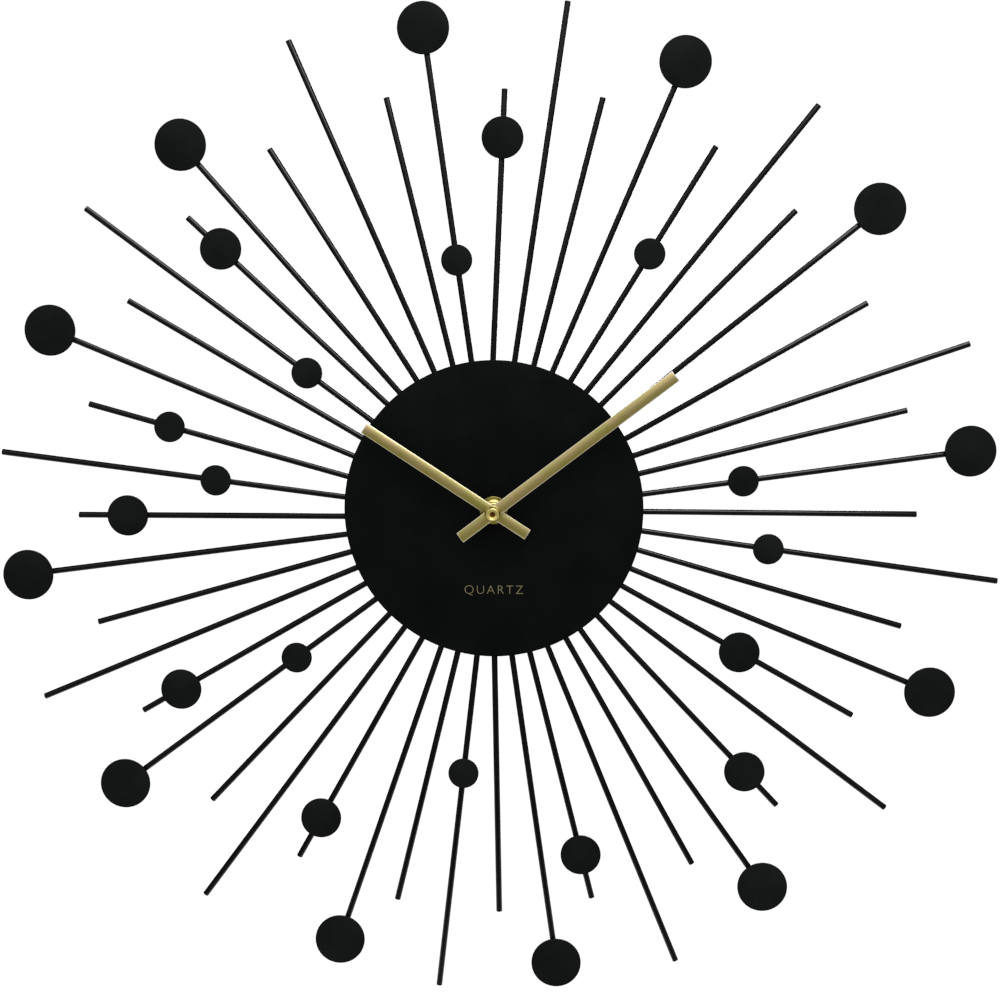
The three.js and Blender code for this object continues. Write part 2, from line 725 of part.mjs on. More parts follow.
function buildMotor() {
  const { rear, front, left, right, low, top, limb } = STATOR;
  const poleTop = rotorAt.y + 3.6;
  const stator = cut(
    join([
      block(left, low, right, poleTop, rear, front),
      block(left, low, left + limb, top, rear, front),
      block(right - limb, low, right, top, rear, front),
    ]),
    [bar(2.8, rear - 1, front + 1, rotorAt.x, rotorAt.y, 16)],
  );
  addPiece("stator", stator, bareSteel);

  const coreRear = front;
  const coreFront = front + 1;
  const spoolLeft = left + limb + 0.4;
  const spoolRight = right - limb - 0.4;
  const spoolLow = top - limb - 1.6;
  const spoolHigh = top + 1.6;
  const flange = 0.8;
  const core = block(left, top - limb, right, top, coreRear, coreFront);
  const cheeks = [spoolLeft, spoolRight - flange].map((x) =>
    block(x, spoolLow, x + flange, spoolHigh, 1.7, 5.9),
  );
  addPiece("coil_bobbin", join([core, ...cheeks]), amberPlastic);

  const windingGap = 0.1;
  const winding = block(
    spoolLeft + flange + windingGap,
    spoolLow + 0.6,
    spoolRight - flange - windingGap,
    spoolHigh - 0.6,
    2.1,
    5.5,
  );
  const coreTunnel = block(
    left,
    top - limb - windingGap,
    right,
    top + windingGap,
    coreRear - windingGap,
    coreFront + windingGap,
  );
  addPiece("coil_winding", winding.subtract(coreTunnel), copperWire);
}

function buildElectronics() {
  const board = { rear: 1.8, front: 2.6, left: 8, right: 24, low: -9.8, high: 2.6 };
  addPiece(
    "circuit_board",
    block(board.left, board.low, board.right, board.high, board.rear, board.front),
    greenBoard,
  );
  addPiece("ic_chip", block(10, -7, 15, -2, board.front, board.front + 1.1), blackPlastic);
  const can = new THREE.CylinderGeometry(1, 1, 6, 12);
  can.rotateZ(Math.PI / 2);
  can.translate(20.5, -5, board.front + 1);
  addPiece("crystal_can", solid(can), bareSteel);
}

function buildBattery() {
  const { radius, length, nubRadius, nub, y, z } = CELL;
  const body = new THREE.CylinderGeometry(radius, radius, length, 24);
  body.rotateZ(Math.PI / 2);
  body.translate(-nub / 2, y, z);
  const button = new THREE.CylinderGeometry(nubRadius, nubRadius, nub + 1, 12);
  button.rotateZ(Math.PI / 2);
  button.translate((length - 1) / 2, y, z);
  addPiece("battery_cell", join([solid(body), solid(button)]), cellJacket);

  const leaf = 0.4;
  const rear = 2;
  const front = 13.4;
  const wallX = cavity.highX - 0.1;
  const cellEnd = (length + nub) / 2;
  const positive = join([
    block(wallX - leaf, y - 6, wallX, y + 6, rear, front),
    block(cellEnd + 0.1, y - 2, wallX, y + 2, z - 2, z + 2),
  ]);
  addPiece("battery_contact_positive", positive, bareSteel);
  const negative = join([
    block(-wallX, y - 6, -wallX + leaf, y + 6, rear, front),
    block(-wallX, y - 2.5, -cellEnd - 0.1, y + 2.5, z - 1.5, z - 1.5 + leaf),
    block(-cellEnd - 0.1 - leaf, y - 2.5, -cellEnd - 0.1, y + 2.5, z - 1.5, z + 4),
  ]);
  addPiece("battery_contact_negative", negative, bareSteel);
}

// ---- Dial, fixing hardware and hands --------------------------------------------------------

function buildDial() {
  const front = DIAL_REAR + DIAL_THICKNESS;
  const dial = bar(DIAL_RADIUS, DIAL_REAR, front, 0, 0, 72).subtract(
    bar(BUSHING.radius + 0.1, DIAL_REAR - 1, front + 1, 0, 0, 24),
  );
  addPiece("dial_plate", dial, blackSteel);
}

function buildHardware() {
  const { radius, bore, flange, flangeRear, front } = BUSHING;
  const bushing = join([
    bar(flange, flangeRear, CASE_DEPTH - CASE_FRONT_WALL, 0, 0, 6),
    bar(radius, flangeRear, front, 0, 0, 24),
  ]).subtract(bar(bore, flangeRear - 1, front + 1, 0, 0, 16));
  addPiece("threaded_bushing", bushing, brass);

  const clear = radius + 0.1;
  addPiece("rubber_washer", ring(RUBBER_WASHER_RADIUS, clear, CASE_DEPTH, DIAL_REAR, 24), rubber);

  const dialFront = DIAL_REAR + DIAL_THICKNESS;
  const washerFront = dialFront + BRASS_WASHER.thickness;
  addPiece("dial_washer", ring(BRASS_WASHER.radius, clear, dialFront, washerFront, 24), brass);

  const nut = turned(
    [
      [clear, washerFront],
      [NUT_RADIUS - 0.3, washerFront],
      [NUT_RADIUS, washerFront + 0.3],
      [NUT_RADIUS, washerFront + 1.3],
      [NUT_RADIUS - 0.4, washerFront + 1.7],
      [5.7, washerFront + 1.7],
      [5.5, washerFront + 2.9],
      [5.2, washerFront + 3.2],
      [clear, washerFront + 3.2],
      [clear, washerFront],
    ],
    24,
  );
  addPiece("bushing_nut", nut, brass);
}

// A baton with a crowned face, on a bearing, with an eye for its arbor.
function handBlade({ rear, tip, tail, bearing, eye }) {
  const half = HAND_WIDTH / 2;
  const front = HAND_SIDE + HAND_CROWN;
  const crownRadius = (half * half + HAND_CROWN * HAND_CROWN) / (2 * HAND_CROWN);
  const spread = Math.asin(half / crownRadius);
  const arcSteps = 6;
  const section = new THREE.Shape();
  section.moveTo(-half, 0);
  section.lineTo(half, 0);
  for (let step = 0; step <= arcSteps; step += 1) {
    const angle = spread - (2 * spread * step) / arcSteps;
    section.lineTo(crownRadius * Math.sin(angle), front - crownRadius * (1 - Math.cos(angle)));
  }
  section.closePath();
  const geometry = new THREE.ExtrudeGeometry(section, {
    depth: tip + tail,
    bevelEnabled: false,
  });
  geometry.rotateX(Math.PI / 2);
  geometry.translate(0, tip, rear);
  geometry.rotateZ(-radians(bearing));
  return solid(geometry).subtract(bar(eye, rear - 1, rear + front + 1, 0, 0, 16));
}

function buildHands() {
  const collet = 0.6;
  addPiece("hour_hand", handBlade(HOUR_HAND), goldHand);
  addPiece(
    "hour_hand_collet",
    ring(3.4, HOUR_HAND.eye, HOUR_HAND.rear - collet, HOUR_HAND.rear, 16),
    brass,
  );
  addPiece("minute_hand", handBlade(MINUTE_HAND), goldHand);
  addPiece(
    "minute_hand_collet",
    ring(2.9, MINUTE_HAND.eye, MINUTE_HAND.rear - collet, MINUTE_HAND.rear, 16),
    brass,
  );
}

// The nut that holds the minute hand on its thread: a round crest about a shallow recess.
function buildCapNut() {
  const { rear, radius, crest, recess, front } = CAP_NUT;
  const bore = MINUTE_THREAD.radius + 0.15;
  const boreEnd = MINUTE_THREAD.front + 0.3;
  const shoulderHeight = 2;
  const shoulderSteps = 4;
  const recessDepth = 0.8;
  const profile = [
    [bore, rear],
    [radius + 0.5, rear],
    [radius + 0.5, rear + 0.6],
    [radius, rear + 0.8],
  ];
  for (let step = 0; step <= shoulderSteps; step += 1) {
    const angle = ((Math.PI / 2) * step) / shoulderSteps;
    profile.push([
      crest + (radius - crest) * Math.cos(angle),
      front - shoulderHeight * (1 - Math.sin(angle)),
    ]);
  }
  profile.push([recess + 0.3, front - 0.15], [recess, front - recessDepth]);
  profile.push([0, front - recessDepth], [0, boreEnd], [bore, boreEnd], [bore, rear]);
  addPiece("hand_cap_nut", turned(profile, 20), brass);
}

// ---- The whole clock ------------------------------------------------------------------------

for (let pair = 0; pair < RAY_COUNT / 2; pair += 1) buildRayPair(pair);
buildHubRing("hub_ring_inner", HUB_RING_RADII[0]);
buildHubRing("hub_ring_outer", HUB_RING_RADII[1]);
buildBracket();
buildDial();
buildCase();
buildBackCover();
buildMiddlePlate();
buildMotor();
buildElectronics();
buildBattery();
buildDriveTrain();
buildMotionWork();
buildSettingKnob();
buildHardware();
buildHands();
buildCapNut();

// Stand the clock up: the dial faces -Y and 12 o'clock is +Z.
clock.rotation.x = Math.PI / 2;

export default clock;
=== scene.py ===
"""The finished look of a sunburst wall clock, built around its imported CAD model.

Everything is in metres in the CAD's own frame: +Z up, the dial faces -Y, and the origin is on the
axis of the hands at the wall. A "height" is a distance in front of the wall, which is -y, and a
"bearing" is measured clockwise from 12 o'clock.
"""

import math

import bmesh
import bpy
from mathutils import Matrix, Vector, noise


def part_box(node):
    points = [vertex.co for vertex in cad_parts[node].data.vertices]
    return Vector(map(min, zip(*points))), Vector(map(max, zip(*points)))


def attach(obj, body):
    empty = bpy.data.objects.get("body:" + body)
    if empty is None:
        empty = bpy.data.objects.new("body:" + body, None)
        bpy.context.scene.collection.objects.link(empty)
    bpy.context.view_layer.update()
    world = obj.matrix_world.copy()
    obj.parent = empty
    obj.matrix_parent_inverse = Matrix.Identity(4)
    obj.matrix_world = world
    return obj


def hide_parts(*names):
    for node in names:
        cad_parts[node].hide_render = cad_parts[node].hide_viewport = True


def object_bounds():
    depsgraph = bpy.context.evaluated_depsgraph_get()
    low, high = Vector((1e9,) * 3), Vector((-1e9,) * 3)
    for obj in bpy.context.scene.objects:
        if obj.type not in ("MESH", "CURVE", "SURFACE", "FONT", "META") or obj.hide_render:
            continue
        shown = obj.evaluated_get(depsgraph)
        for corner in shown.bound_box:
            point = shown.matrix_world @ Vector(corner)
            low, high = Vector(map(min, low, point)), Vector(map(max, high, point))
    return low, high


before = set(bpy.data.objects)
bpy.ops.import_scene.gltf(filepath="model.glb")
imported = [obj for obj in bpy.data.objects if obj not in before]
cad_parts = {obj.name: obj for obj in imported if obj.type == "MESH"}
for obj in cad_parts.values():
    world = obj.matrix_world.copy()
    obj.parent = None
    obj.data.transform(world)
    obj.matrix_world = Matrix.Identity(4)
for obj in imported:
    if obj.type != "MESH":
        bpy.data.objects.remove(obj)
cad_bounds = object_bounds()

MM = 0.001
TINY = 0.01 * MM
CLOCK = "clock_body"
HOUR = "hour_hand_body"
MINUTE = "minute_hand_body"
KNOB = "setting_knob_body"

# The direction away from the wall, and the turn that lays the Z axis of a turned shape on it.
OUT = Vector((0, -1, 0))
DIAL_AXIS = Matrix.Rotation(math.pi / 2, 4, "X")

HAND_HALF = 2.9 * MM
WIRE_RADIUS = 1.5 * MM
RING_WIRE_RADIUS = 1.5 * MM


# ---- Shader nodes ----


class Nodes:
    """Adds nodes to one tree, which work from a place on the object or a direction in the world."""

    def __init__(self, tree, space="Object"):
        self.nodes, self.links = tree.nodes, tree.links
        self.place = self.nodes.new("ShaderNodeTexCoord").outputs[space]

    def feed(self, socket, value):
        """Gives a socket a value of its own, or a link from another node's output."""
        if isinstance(value, bpy.types.NodeSocket):
            self.links.new(value, socket)
        else:
            socket.default_value = value

    def add(self, node_type, **values):
        node = self.nodes.new(node_type)
        for socket, value in values.items():
            self.feed(node.inputs[socket.replace("_", " ")], value)
        return node

    def axes(self, place=None):
        return self.add("ShaderNodeSeparateXYZ", Vector=place or self.place).outputs

    def ranged(self, value, low, high, to_low, to_high):
        return self.add("ShaderNodeMapRange", Value=value, From_Min=low, From_Max=high,
                        To_Min=to_low, To_Max=to_high).outputs["Result"]

    def math(self, operation, first, second=0.0):
        node = self.nodes.new("ShaderNodeMath")
        node.operation = operation
        self.feed(node.inputs[0], first)
        self.feed(node.inputs[1], second)
        return node.outputs["Value"]

    def ramp(self, value, *stops, steps=False):
        node = self.add("ShaderNodeValToRGB", Fac=value)
        band = node.color_ramp
        band.interpolation = "CONSTANT" if steps else "LINEAR"
        while len(band.elements) < len(stops):
            band.elements.new(0.5)
        for element, (position, colour) in zip(band.elements, stops):
            element.position = position
            element.color = (*colour, 1)
        return node.outputs["Color"]


# ---- Camera, light and stage ----

CAMERA_AZIMUTH = math.radians(1.56)
CAMERA_ELEVATION = math.radians(7.57)
CAMERA_DISTANCE = 0.9567
CAMERA_LENS = 68.85
CAMERA_TARGET = Vector((0.00311, -0.0154, 0.00458))

# The floor is a square this far below the clock.
FLOOR_DROP = 0.35
FLOOR_HALF = 4

# The white ground and floor, and how bright they look to the camera.
WHITE = (1, 1, 1, 1)
SEEN_WHITE = 1.05

# How strongly the room lights the clock, as (where, how bright) stops. The three for the room are
# multiplied: by how far a direction rises, by how far it points behind the clock, and by how
# straight it points away from the wall. The floor's stops go from its front to its rear.
ROOM_BY_RISE = ((-0.26, 0.40), (0, 0.46), (0.15, 0.62), (0.35, 0.95))
ROOM_BY_REAR = ((-0.15, 1.0), (0.12, 0.04))
ROOM_BY_FRONT = ((0.93, 1.0), (0.98, 0.9))
FLOOR_BY_REAR = ((-3, 0.45), (-1.0, 0.4), (-0.6, 0.15), (-0.25, 0.9), (0.5, 0.9), (0.7, 0.06))

# (brightness, brightness shown) points of the tone curve.
TONE_CURVE = ((0.03, 0.012), (0.12, 0.115), (0.5, 0.5))


def camera_side():
    """The direction from the clock to the camera."""
    level = math.cos(CAMERA_ELEVATION)
    return Vector((math.sin(CAMERA_AZIMUTH) * level, -math.cos(CAMERA_AZIMUTH) * level,
                   math.sin(CAMERA_ELEVATION)))


def add_camera():
    data = bpy.data.cameras.new("camera")
    data.lens = CAMERA_LENS
    data.sensor_width = 36
    data.clip_end = 50
    camera = bpy.data.objects.new("camera", data)
    camera.location = CAMERA_TARGET + camera_side() * CAMERA_DISTANCE
    camera.rotation_euler = camera_side().to_track_quat("Z", "Y").to_euler()
    bpy.context.scene.collection.objects.link(camera)
    bpy.context.scene.camera = camera


def add_softbox(name, place, size, power):
    """A rectangle of light that faces the middle of the clock."""
    data = bpy.data.lights.new(name, "AREA")
    data.shape = "RECTANGLE"
    data.size, data.size_y = size
    data.energy = power
    light = bpy.data.objects.new(name, data)
    light.location = place
    light.rotation_euler = Vector(place).to_track_quat("Z", "Y").to_euler()
    light.visible_camera = False
    bpy.context.scene.collection.objects.link(light)


def blank_tree(owner):
    owner.use_nodes = True
    owner.node_tree.nodes.clear()
    return owner.node_tree


def glow_for_eye_and_room(nodes, output_type, shader_type, room):
    """A plain white to look at, which lights the clock with another, uneven brightness."""
    path = nodes.add("ShaderNodeLightPath")
    unseen = nodes.add(shader_type, Color=WHITE, Strength=room)
    seen = nodes.add(shader_type, Color=WHITE, Strength=SEEN_WHITE)
    mix = nodes.add("ShaderNodeMixShader", Fac=path.outputs["Is Camera Ray"])
    nodes.feed(mix.inputs[1], unseen.outputs[0])
    nodes.feed(mix.inputs[2], seen.outputs[0])
    nodes.add(output_type, Surface=mix.outputs["Shader"])


def strength_over(nodes, value, stops):
    """A brightness that changes with a value, through (value, brightness) stops."""
    first, last = stops[0][0], stops[-1][0]
    share = nodes.ranged(value, first, last, 0, 1)
    greys = [((place - first) / (last - first), (brightness,) * 3) for place, brightness in stops]
    return nodes.ramp(share, *greys)


def add_world():
    """A white room that is dark behind the clock, and a little dimmer straight in front of it."""
    world = bpy.data.worlds.new("studio")
    nodes = Nodes(blank_tree(world), "Generated")
    _, rear, rise = nodes.axes()
    front = nodes.math("MULTIPLY", rear, -1)
    room = strength_over(nodes, rise, ROOM_BY_RISE)
    for value, stops in ((rear, ROOM_BY_REAR), (front, ROOM_BY_FRONT)):
        room = nodes.math("MULTIPLY", room, strength_over(nodes, value, stops))
    glow_for_eye_and_room(nodes, "ShaderNodeOutputWorld", "ShaderNodeBackground", room)
    bpy.context.scene.world = world


def add_floor():
    """A plain floor, whose light is brightest straight below the clock."""
    level = cad_bounds[0][2] - FLOOR_DROP
    mesh = bpy.data.meshes.new("floor")
    half = FLOOR_HALF
    corners = [(-half, -half), (half, -half), (half, half), (-half, half)]
    mesh.from_pydata([(x, y, level) for x, y in corners], [], [(0, 1, 2, 3)])
    floor = bpy.data.objects.new("floor", mesh)
    bpy.context.scene.collection.objects.link(floor)
    material = bpy.data.materials.new("pale_floor")
    nodes = Nodes(blank_tree(material))
    room = strength_over(nodes, nodes.axes()["Y"], FLOOR_BY_REAR)
    glow_for_eye_and_room(nodes, "ShaderNodeOutputMaterial", "ShaderNodeEmission", room)
    mesh.materials.append(material)


def add_contrast():
    """The tone curve of a studio picture: deep blacks, and everything else as it is."""
    view = bpy.context.scene.view_settings
    view.view_transform = "Standard"
    view.use_curve_mapping = True
    all_channels = view.curve_mapping.curves[3]
    for brightness, shown in TONE_CURVE:
        all_channels.points.new(brightness, shown)
    view.curve_mapping.update()


def add_studio():
    add_camera()
    add_world()
    add_floor()
    add_contrast()
    add_softbox("top_softbox", place=(0.34, -0.72, 2.2), size=(1.4, 3.1), power=50)
    add_softbox("rear_softbox", place=(0.1, 2.2, 0.2), size=(1.2, 1.2), power=32)


# ---- Materials ----

# Which sockets of a Mix node take and give colours.
FIRST_COLOUR, SECOND_COLOUR, MIXED_COLOUR = 6, 7, 2

DUST = (0.06, 0.065, 0.06)
SPECK_RADIUS = 0.03
CELLS_WITHOUT_SPECK = 0.62

OLIVE_GOLD = (0.355, 0.335, 0.09)
PALE_GOLD = (0.425, 0.348, 0.13)
WARM_GOLD = (0.475, 0.348, 0.162)
# A pale gold painted along the hands' edges and ends as a highlight.
EDGE_HIGHLIGHT_GOLD = (0.72, 0.66, 0.47)

BRASS = (0.82, 0.69, 0.27)
TURNED_BRASS = (0.72, 0.57, 0.22)
# A dark brown painted as the shade in a recess.
RECESS_SHADE_BROWN = (0.16, 0.09, 0.03)
STEEL = (0.56, 0.57, 0.58)
ENAMEL_LIGHT = (0.72, 0.32, 0.12)
# The enamel's colour on a turn's crest, and the painted shade in the grooves between turns.
ENAMEL_GROOVE_SHADE = (0.3, 0.1, 0.03)
BOARD_LIGHT = (0.03, 0.17, 0.06)
BOARD_DARK = (0.012, 0.09, 0.035)

# Radians of a sine wave for each metre: lathe marks 0.3 mm apart, and coil turns 0.2 mm apart.
LATHE_RINGS = 21000
COIL_TURNS = 30000


class Finish(Nodes):
    """A procedural material, whose nodes end at one Principled shader."""

    def __init__(self, name, **shader_values):
        self.material = bpy.data.materials.new(name)
        self.material.use_nodes = True
        super().__init__(self.material.node_tree)
        self.shader = self.nodes["Principled BSDF"]
        for socket, value in shader_values.items():
            self.feed(self.shader.inputs[socket.replace("_", " ")], value)
        self.normal = None

    def mapped(self, scale=(1, 1, 1), turn=(0, 0, 0)):
        """The place on the object, turned and then stretched."""
        rotated = self.add("ShaderNodeMapping", Rotation=turn, Vector=self.place).outputs["Vector"]
        return self.add("ShaderNodeMapping", Scale=scale, Vector=rotated).outputs["Vector"]

    def noise(self, scale, detail=3.0, place=None, roughness=0.55):
        return self.add("ShaderNodeTexNoise", Scale=scale, Detail=detail, Roughness=roughness,
                        Vector=place or self.place).outputs["Fac"]

    def cells(self, scale, place=None):
        """(distance to the nearest cell's middle, a colour that each cell has by chance)."""
        node = self.add("ShaderNodeTexVoronoi", Scale=scale, Vector=place or self.place)
        return node.outputs["Distance"], node.outputs["Color"]

    def blend(self, share, colour, other):
        node = self.nodes.new("ShaderNodeMix")
        node.data_type = "RGBA"
        self.feed(node.inputs["Factor"], share)
        self.feed(node.inputs[FIRST_COLOUR], colour)
        self.feed(node.inputs[SECOND_COLOUR], (*other, 1))
        return node.outputs[MIXED_COLOUR]

    def colour(self, value):
        self.feed(self.shader.inputs["Base Color"], value)

    def roughness(self, value):
        self.feed(self.shader.inputs["Roughness"], value)

    def relief(self, height, depth):
        """Adds a layer of relief; depth is its real height."""
        node = self.add("ShaderNodeBump", Distance=depth, Height=height)
        if self.normal is not None:
            self.feed(node.inputs["Normal"], self.normal)
        self.normal = node.outputs["Normal"]
        self.feed(self.shader.inputs["Normal"], self.normal)


def shade(colour, factor):
    return tuple(channel * factor for channel in colour)


def dusted(finish, coat):
    """Faint specks on a coat, drawn out a little on the slant."""
    stretched = finish.mapped((1, 1, 0.35), (0, 0.7, 0))
    distance, chance = finish.cells(150, stretched)
    speck = finish.math("LESS_THAN", distance, SPECK_RADIUS)
    chosen = finish.math("GREATER_THAN", chance, CELLS_WITHOUT_SPECK)
    shown = finish.math("MULTIPLY", finish.math("MULTIPLY", speck, chosen), 0.6)
    return finish.blend(shown, coat, DUST)


def powder_coat(name, colour, rough, gloss, dust=False):
    """Satin powder coat: orange peel, fine grain, and small changes of colour and gloss."""
    finish = Finish(name, Specular_IOR_Level=gloss)
    patches = finish.noise(45, 4)
    grain = finish.noise(2600, 2)
    coat = finish.ramp(patches, (0.3, shade(colour, 0.8)), (0.75, shade(colour, 1.25)))
    finish.colour(dusted(finish, coat) if dust else coat)
    mottled = finish.math("ADD", finish.math("MULTIPLY", patches, 0.6),
                          finish.math("MULTIPLY", grain, 0.4))
    finish.roughness(finish.ranged(mottled, 0.35, 0.65, rough - 0.06, rough + 0.06))
    orange_peel = finish.noise(700, 2)
    finish.relief(orange_peel, 0.025 * MM)
    finish.relief(grain, 0.008 * MM)
    return finish.material


def satin_gold(name, bearing, tail, tip):
    """Pale satin gold, brushed along a hand that points on this bearing, with painted edge
    highlights.

    The tail and the tip are the hand's reach behind and in front of its axis."""
    finish = Finish(name, Metallic=1.0, Coat_Weight=1.0, Coat_Roughness=0.22)
    turned_back = (0, -bearing, 0)
    hairs = finish.noise(2200, 3, finish.mapped((1, 1, 0.02), turned_back), 0.7)
    clouds = finish.noise(300, 4, finish.mapped((1, 1, 0.6), turned_back))
    gold = finish.ramp(clouds, (0.3, OLIVE_GOLD), (0.5, PALE_GOLD), (0.7, WARM_GOLD))
    across, _, along = finish.axes(finish.mapped(turn=turned_back))
    aside = finish.math("ABSOLUTE", across)
    # Painted highlight: a pale gold band along the sides, the tip and the tail of the hand.
    side_highlight = finish.ranged(aside, HAND_HALF - 0.5 * MM, HAND_HALF - 0.2 * MM, 0, 1)
    tip_highlight = finish.ranged(along, tip - 0.6 * MM, tip - 0.3 * MM, 0, 1)
    tail_highlight = finish.ranged(along, 0.6 * MM - tail, 0.3 * MM - tail, 0, 1)
    edge = finish.math("MAXIMUM", finish.math("MAXIMUM", side_highlight, tip_highlight), tail_highlight)
    finish.colour(finish.blend(edge, gold, EDGE_HIGHLIGHT_GOLD))
    finish.roughness(finish.ranged(hairs, 0.3, 0.7, 0.4, 0.5))
    finish.relief(hairs, 0.005 * MM)
    return finish.material


def turned_brass(name, rough, ring_depth, colour=BRASS, recess_shade_within=0.0, painted_shade_beyond=0.0):
    """Brass with the fine rings that a lathe leaves around the axis of the hands.

    A brown painted shade fills a recess up to one radius, and a darker painted shade lies beyond
    another."""
    finish = Finish(name, Metallic=1.0)
    x, _, z = finish.axes()
    radius = finish.math("SQRT", finish.math("ADD", finish.math("MULTIPLY", x, x),
                                             finish.math("MULTIPLY", z, z)))
    rings = finish.math("SINE", finish.math("MULTIPLY", radius, LATHE_RINGS))
    patches = finish.noise(300, 3)
    tone = finish.ramp(patches, (0.3, shade(colour, 0.88)), (0.7, colour))
    if recess_shade_within:
        # Painted shade: the floor of the recess is darkened to brown within this radius.
        dark = finish.ranged(radius, recess_shade_within, recess_shade_within + 0.4 * MM, 1, 0)
        tone = finish.blend(dark, tone, RECESS_SHADE_BROWN)
    if painted_shade_beyond:
        # Painted shade: beyond this radius the brass is darkened, as a collar or flange in shade.
        outer_shade = finish.ranged(radius, painted_shade_beyond, painted_shade_beyond + 0.3 * MM, 0, 1)
        tone = finish.blend(outer_shade, tone, shade(colour, 0.45))
    finish.colour(tone)
    finish.roughness(finish.ranged(patches, 0.3, 0.7, rough * 0.8, rough * 1.3))
    finish.relief(rings, ring_depth)
    return finish.material


def brushed_steel():
    finish = Finish("bare_steel", Metallic=1.0)
    hairs = finish.noise(4000, 3, finish.mapped((1, 1, 0.03)))
    patches = finish.noise(120, 4)
    finish.colour(finish.ramp(patches, (0.3, shade(STEEL, 0.75)), (0.7, STEEL)))
    finish.roughness(finish.ranged(hairs, 0.3, 0.7, 0.22, 0.4))
    finish.relief(hairs, 0.006 * MM)
    return finish.material


def moulded_plastic(name, colour, rough, grain_depth=0.015 * MM, gloss=0.5):
    """Injection-moulded plastic with a spark-eroded grain."""
    finish = Finish(name, Specular_IOR_Level=gloss)
    patches = finish.noise(90, 3)
    finish.colour(finish.ramp(patches, (0.3, shade(colour, 0.85)), (0.7, shade(colour, 1.1))))
    finish.roughness(finish.ranged(finish.noise(300, 2), 0.3, 0.7, rough - 0.03, rough + 0.03))
    finish.relief(finish.cells(2200)[0], grain_depth)
    finish.relief(finish.noise(6000, 2), grain_depth / 2)
    return finish.material


def copper_winding():
    """Rows of fine enamelled wire side by side along the bobbin, with painted shade between the
    turns.
    """
    finish = Finish("copper_wire", Metallic=0.9, Coat_Weight=0.3)
    turns = finish.math("SINE", finish.math("MULTIPLY", finish.axes()[0], COIL_TURNS))
    height = finish.ranged(turns, -1, 1, 0, 1)
    # Painted shade: the enamel darkens towards the grooves between the turns.
    finish.colour(finish.ramp(height, (0.0, ENAMEL_GROOVE_SHADE), (0.6, ENAMEL_LIGHT)))
    finish.roughness(finish.ranged(finish.noise(900), 0.3, 0.7, 0.25, 0.4))
    finish.relief(turns, 0.03 * MM)
    return finish.material


def circuit_green():
    """Green lacquer over the weave of a glass fibre board."""
    finish = Finish("circuit_green", Coat_Weight=0.2)
    weave = finish.math("ADD", finish.cells(1400)[0], finish.noise(700))
    finish.colour(finish.ramp(weave, (0.3, BOARD_DARK), (0.9, BOARD_LIGHT)))
    finish.roughness(finish.ranged(finish.noise(400), 0.3, 0.7, 0.3, 0.45))
    finish.relief(weave, 0.015 * MM)
    return finish.material


def cell_jacket(low, high):
    """A plain sleeve on a battery that lies along X: black, then copper colour, and steel ends."""
    finish = Finish("cell_jacket", Metallic=0.6, Coat_Weight=0.4, Coat_Roughness=0.15)
    along = finish.ranged(finish.axes()[0], low, high, 0, 1)
    steel, black, copper = (0.55, 0.55, 0.55), (0.02, 0.021, 0.024), (0.55, 0.27, 0.09)
    sleeve = finish.ramp(along, (0.0, steel), (0.012, black), (0.7, copper), (0.955, steel),
                         steps=True)
    scuffs = finish.noise(300, 4)
    scuffed = finish.ranged(scuffs, 0.62, 0.75, 0, 0.25)
    finish.colour(finish.blend(scuffed, sleeve, (0.35, 0.34, 0.33)))
    finish.roughness(finish.ranged(scuffs, 0.3, 0.7, 0.25, 0.45))
    finish.relief(finish.noise(150), 0.02 * MM)
    return finish.material


# ---- Mesh tools ----

# Edges that bend by more than this many degrees stay sharp: on most pieces, on a wire, on a weld,
# and on a CAD node, where they are also softened.
SMOOTH_ANGLE = 35
WIRE_SMOOTH_ANGLE = 40
WELD_SMOOTH_ANGLE = 60
CREASE = 28

WIRE_SIDES = 16
WIRE_EDGE = 0.25 * MM
BEAD_SIDES = 12
BEAD_ROWS = 8
BEAD_UNEVENNESS = 0.16
BEAD_LUMPS = 1.7


def add_piece(name, mesh, material, body=CLOCK, nodes=()):
    piece = bpy.data.objects.new(name, mesh)
    bpy.context.scene.collection.objects.link(piece)
    mesh.materials.clear()
    mesh.materials.append(material)
    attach(piece, body)
    if nodes:
        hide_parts(*nodes)
    return piece


def finished(name, shape, smooth_angle=SMOOTH_ANGLE):
    """Turns a bmesh into a mesh that is smooth except at its real edges."""
    bmesh.ops.remove_doubles(shape, verts=shape.verts, dist=TINY / 10)
    bmesh.ops.recalc_face_normals(shape, faces=shape.faces)
    mesh = bpy.data.meshes.new(name)
    shape.to_mesh(mesh)
    shape.free()
    mesh.shade_smooth()
    mesh.set_sharp_from_angle(angle=math.radians(smooth_angle))
    return mesh


def rounded(points, radius, steps=3, closed=True):
    """An outline with each of its corners turned into a small curve."""
    result = []
    count = len(points)
    for index, corner in enumerate(points):
        if not closed and index in (0, count - 1):
            result.append(corner)
            continue
        before = points[index - 1] - corner
        after = points[(index + 1) % count] - corner
        reach = min(radius, before.length * 0.45, after.length * 0.45)
        start = corner + before.normalized() * reach
        end = corner + after.normalized() * reach
        for step in range(steps + 1):
            share = step / steps
            result.append(start.lerp(corner, share).lerp(corner.lerp(end, share), share))
    return result


def vectors(*points):
    return [Vector(point) for point in points]


def ring_outline(hole, radius, rear, front):
    """The section of a flat ring: its two radii, and the heights of its faces."""
    return vectors((hole, rear), (radius, rear), (radius, front), (hole, front))


def round_outline(across, up, radius, steps=32):
    turns = [2 * math.pi * step / steps for step in range(steps)]
    return [(across + radius * math.cos(turn), up + radius * math.sin(turn)) for turn in turns]


def quarter_turn(steps):
    """Even steps of angle from 0 to a right angle."""
    return [math.pi / 2 * step / steps for step in range(steps + 1)]


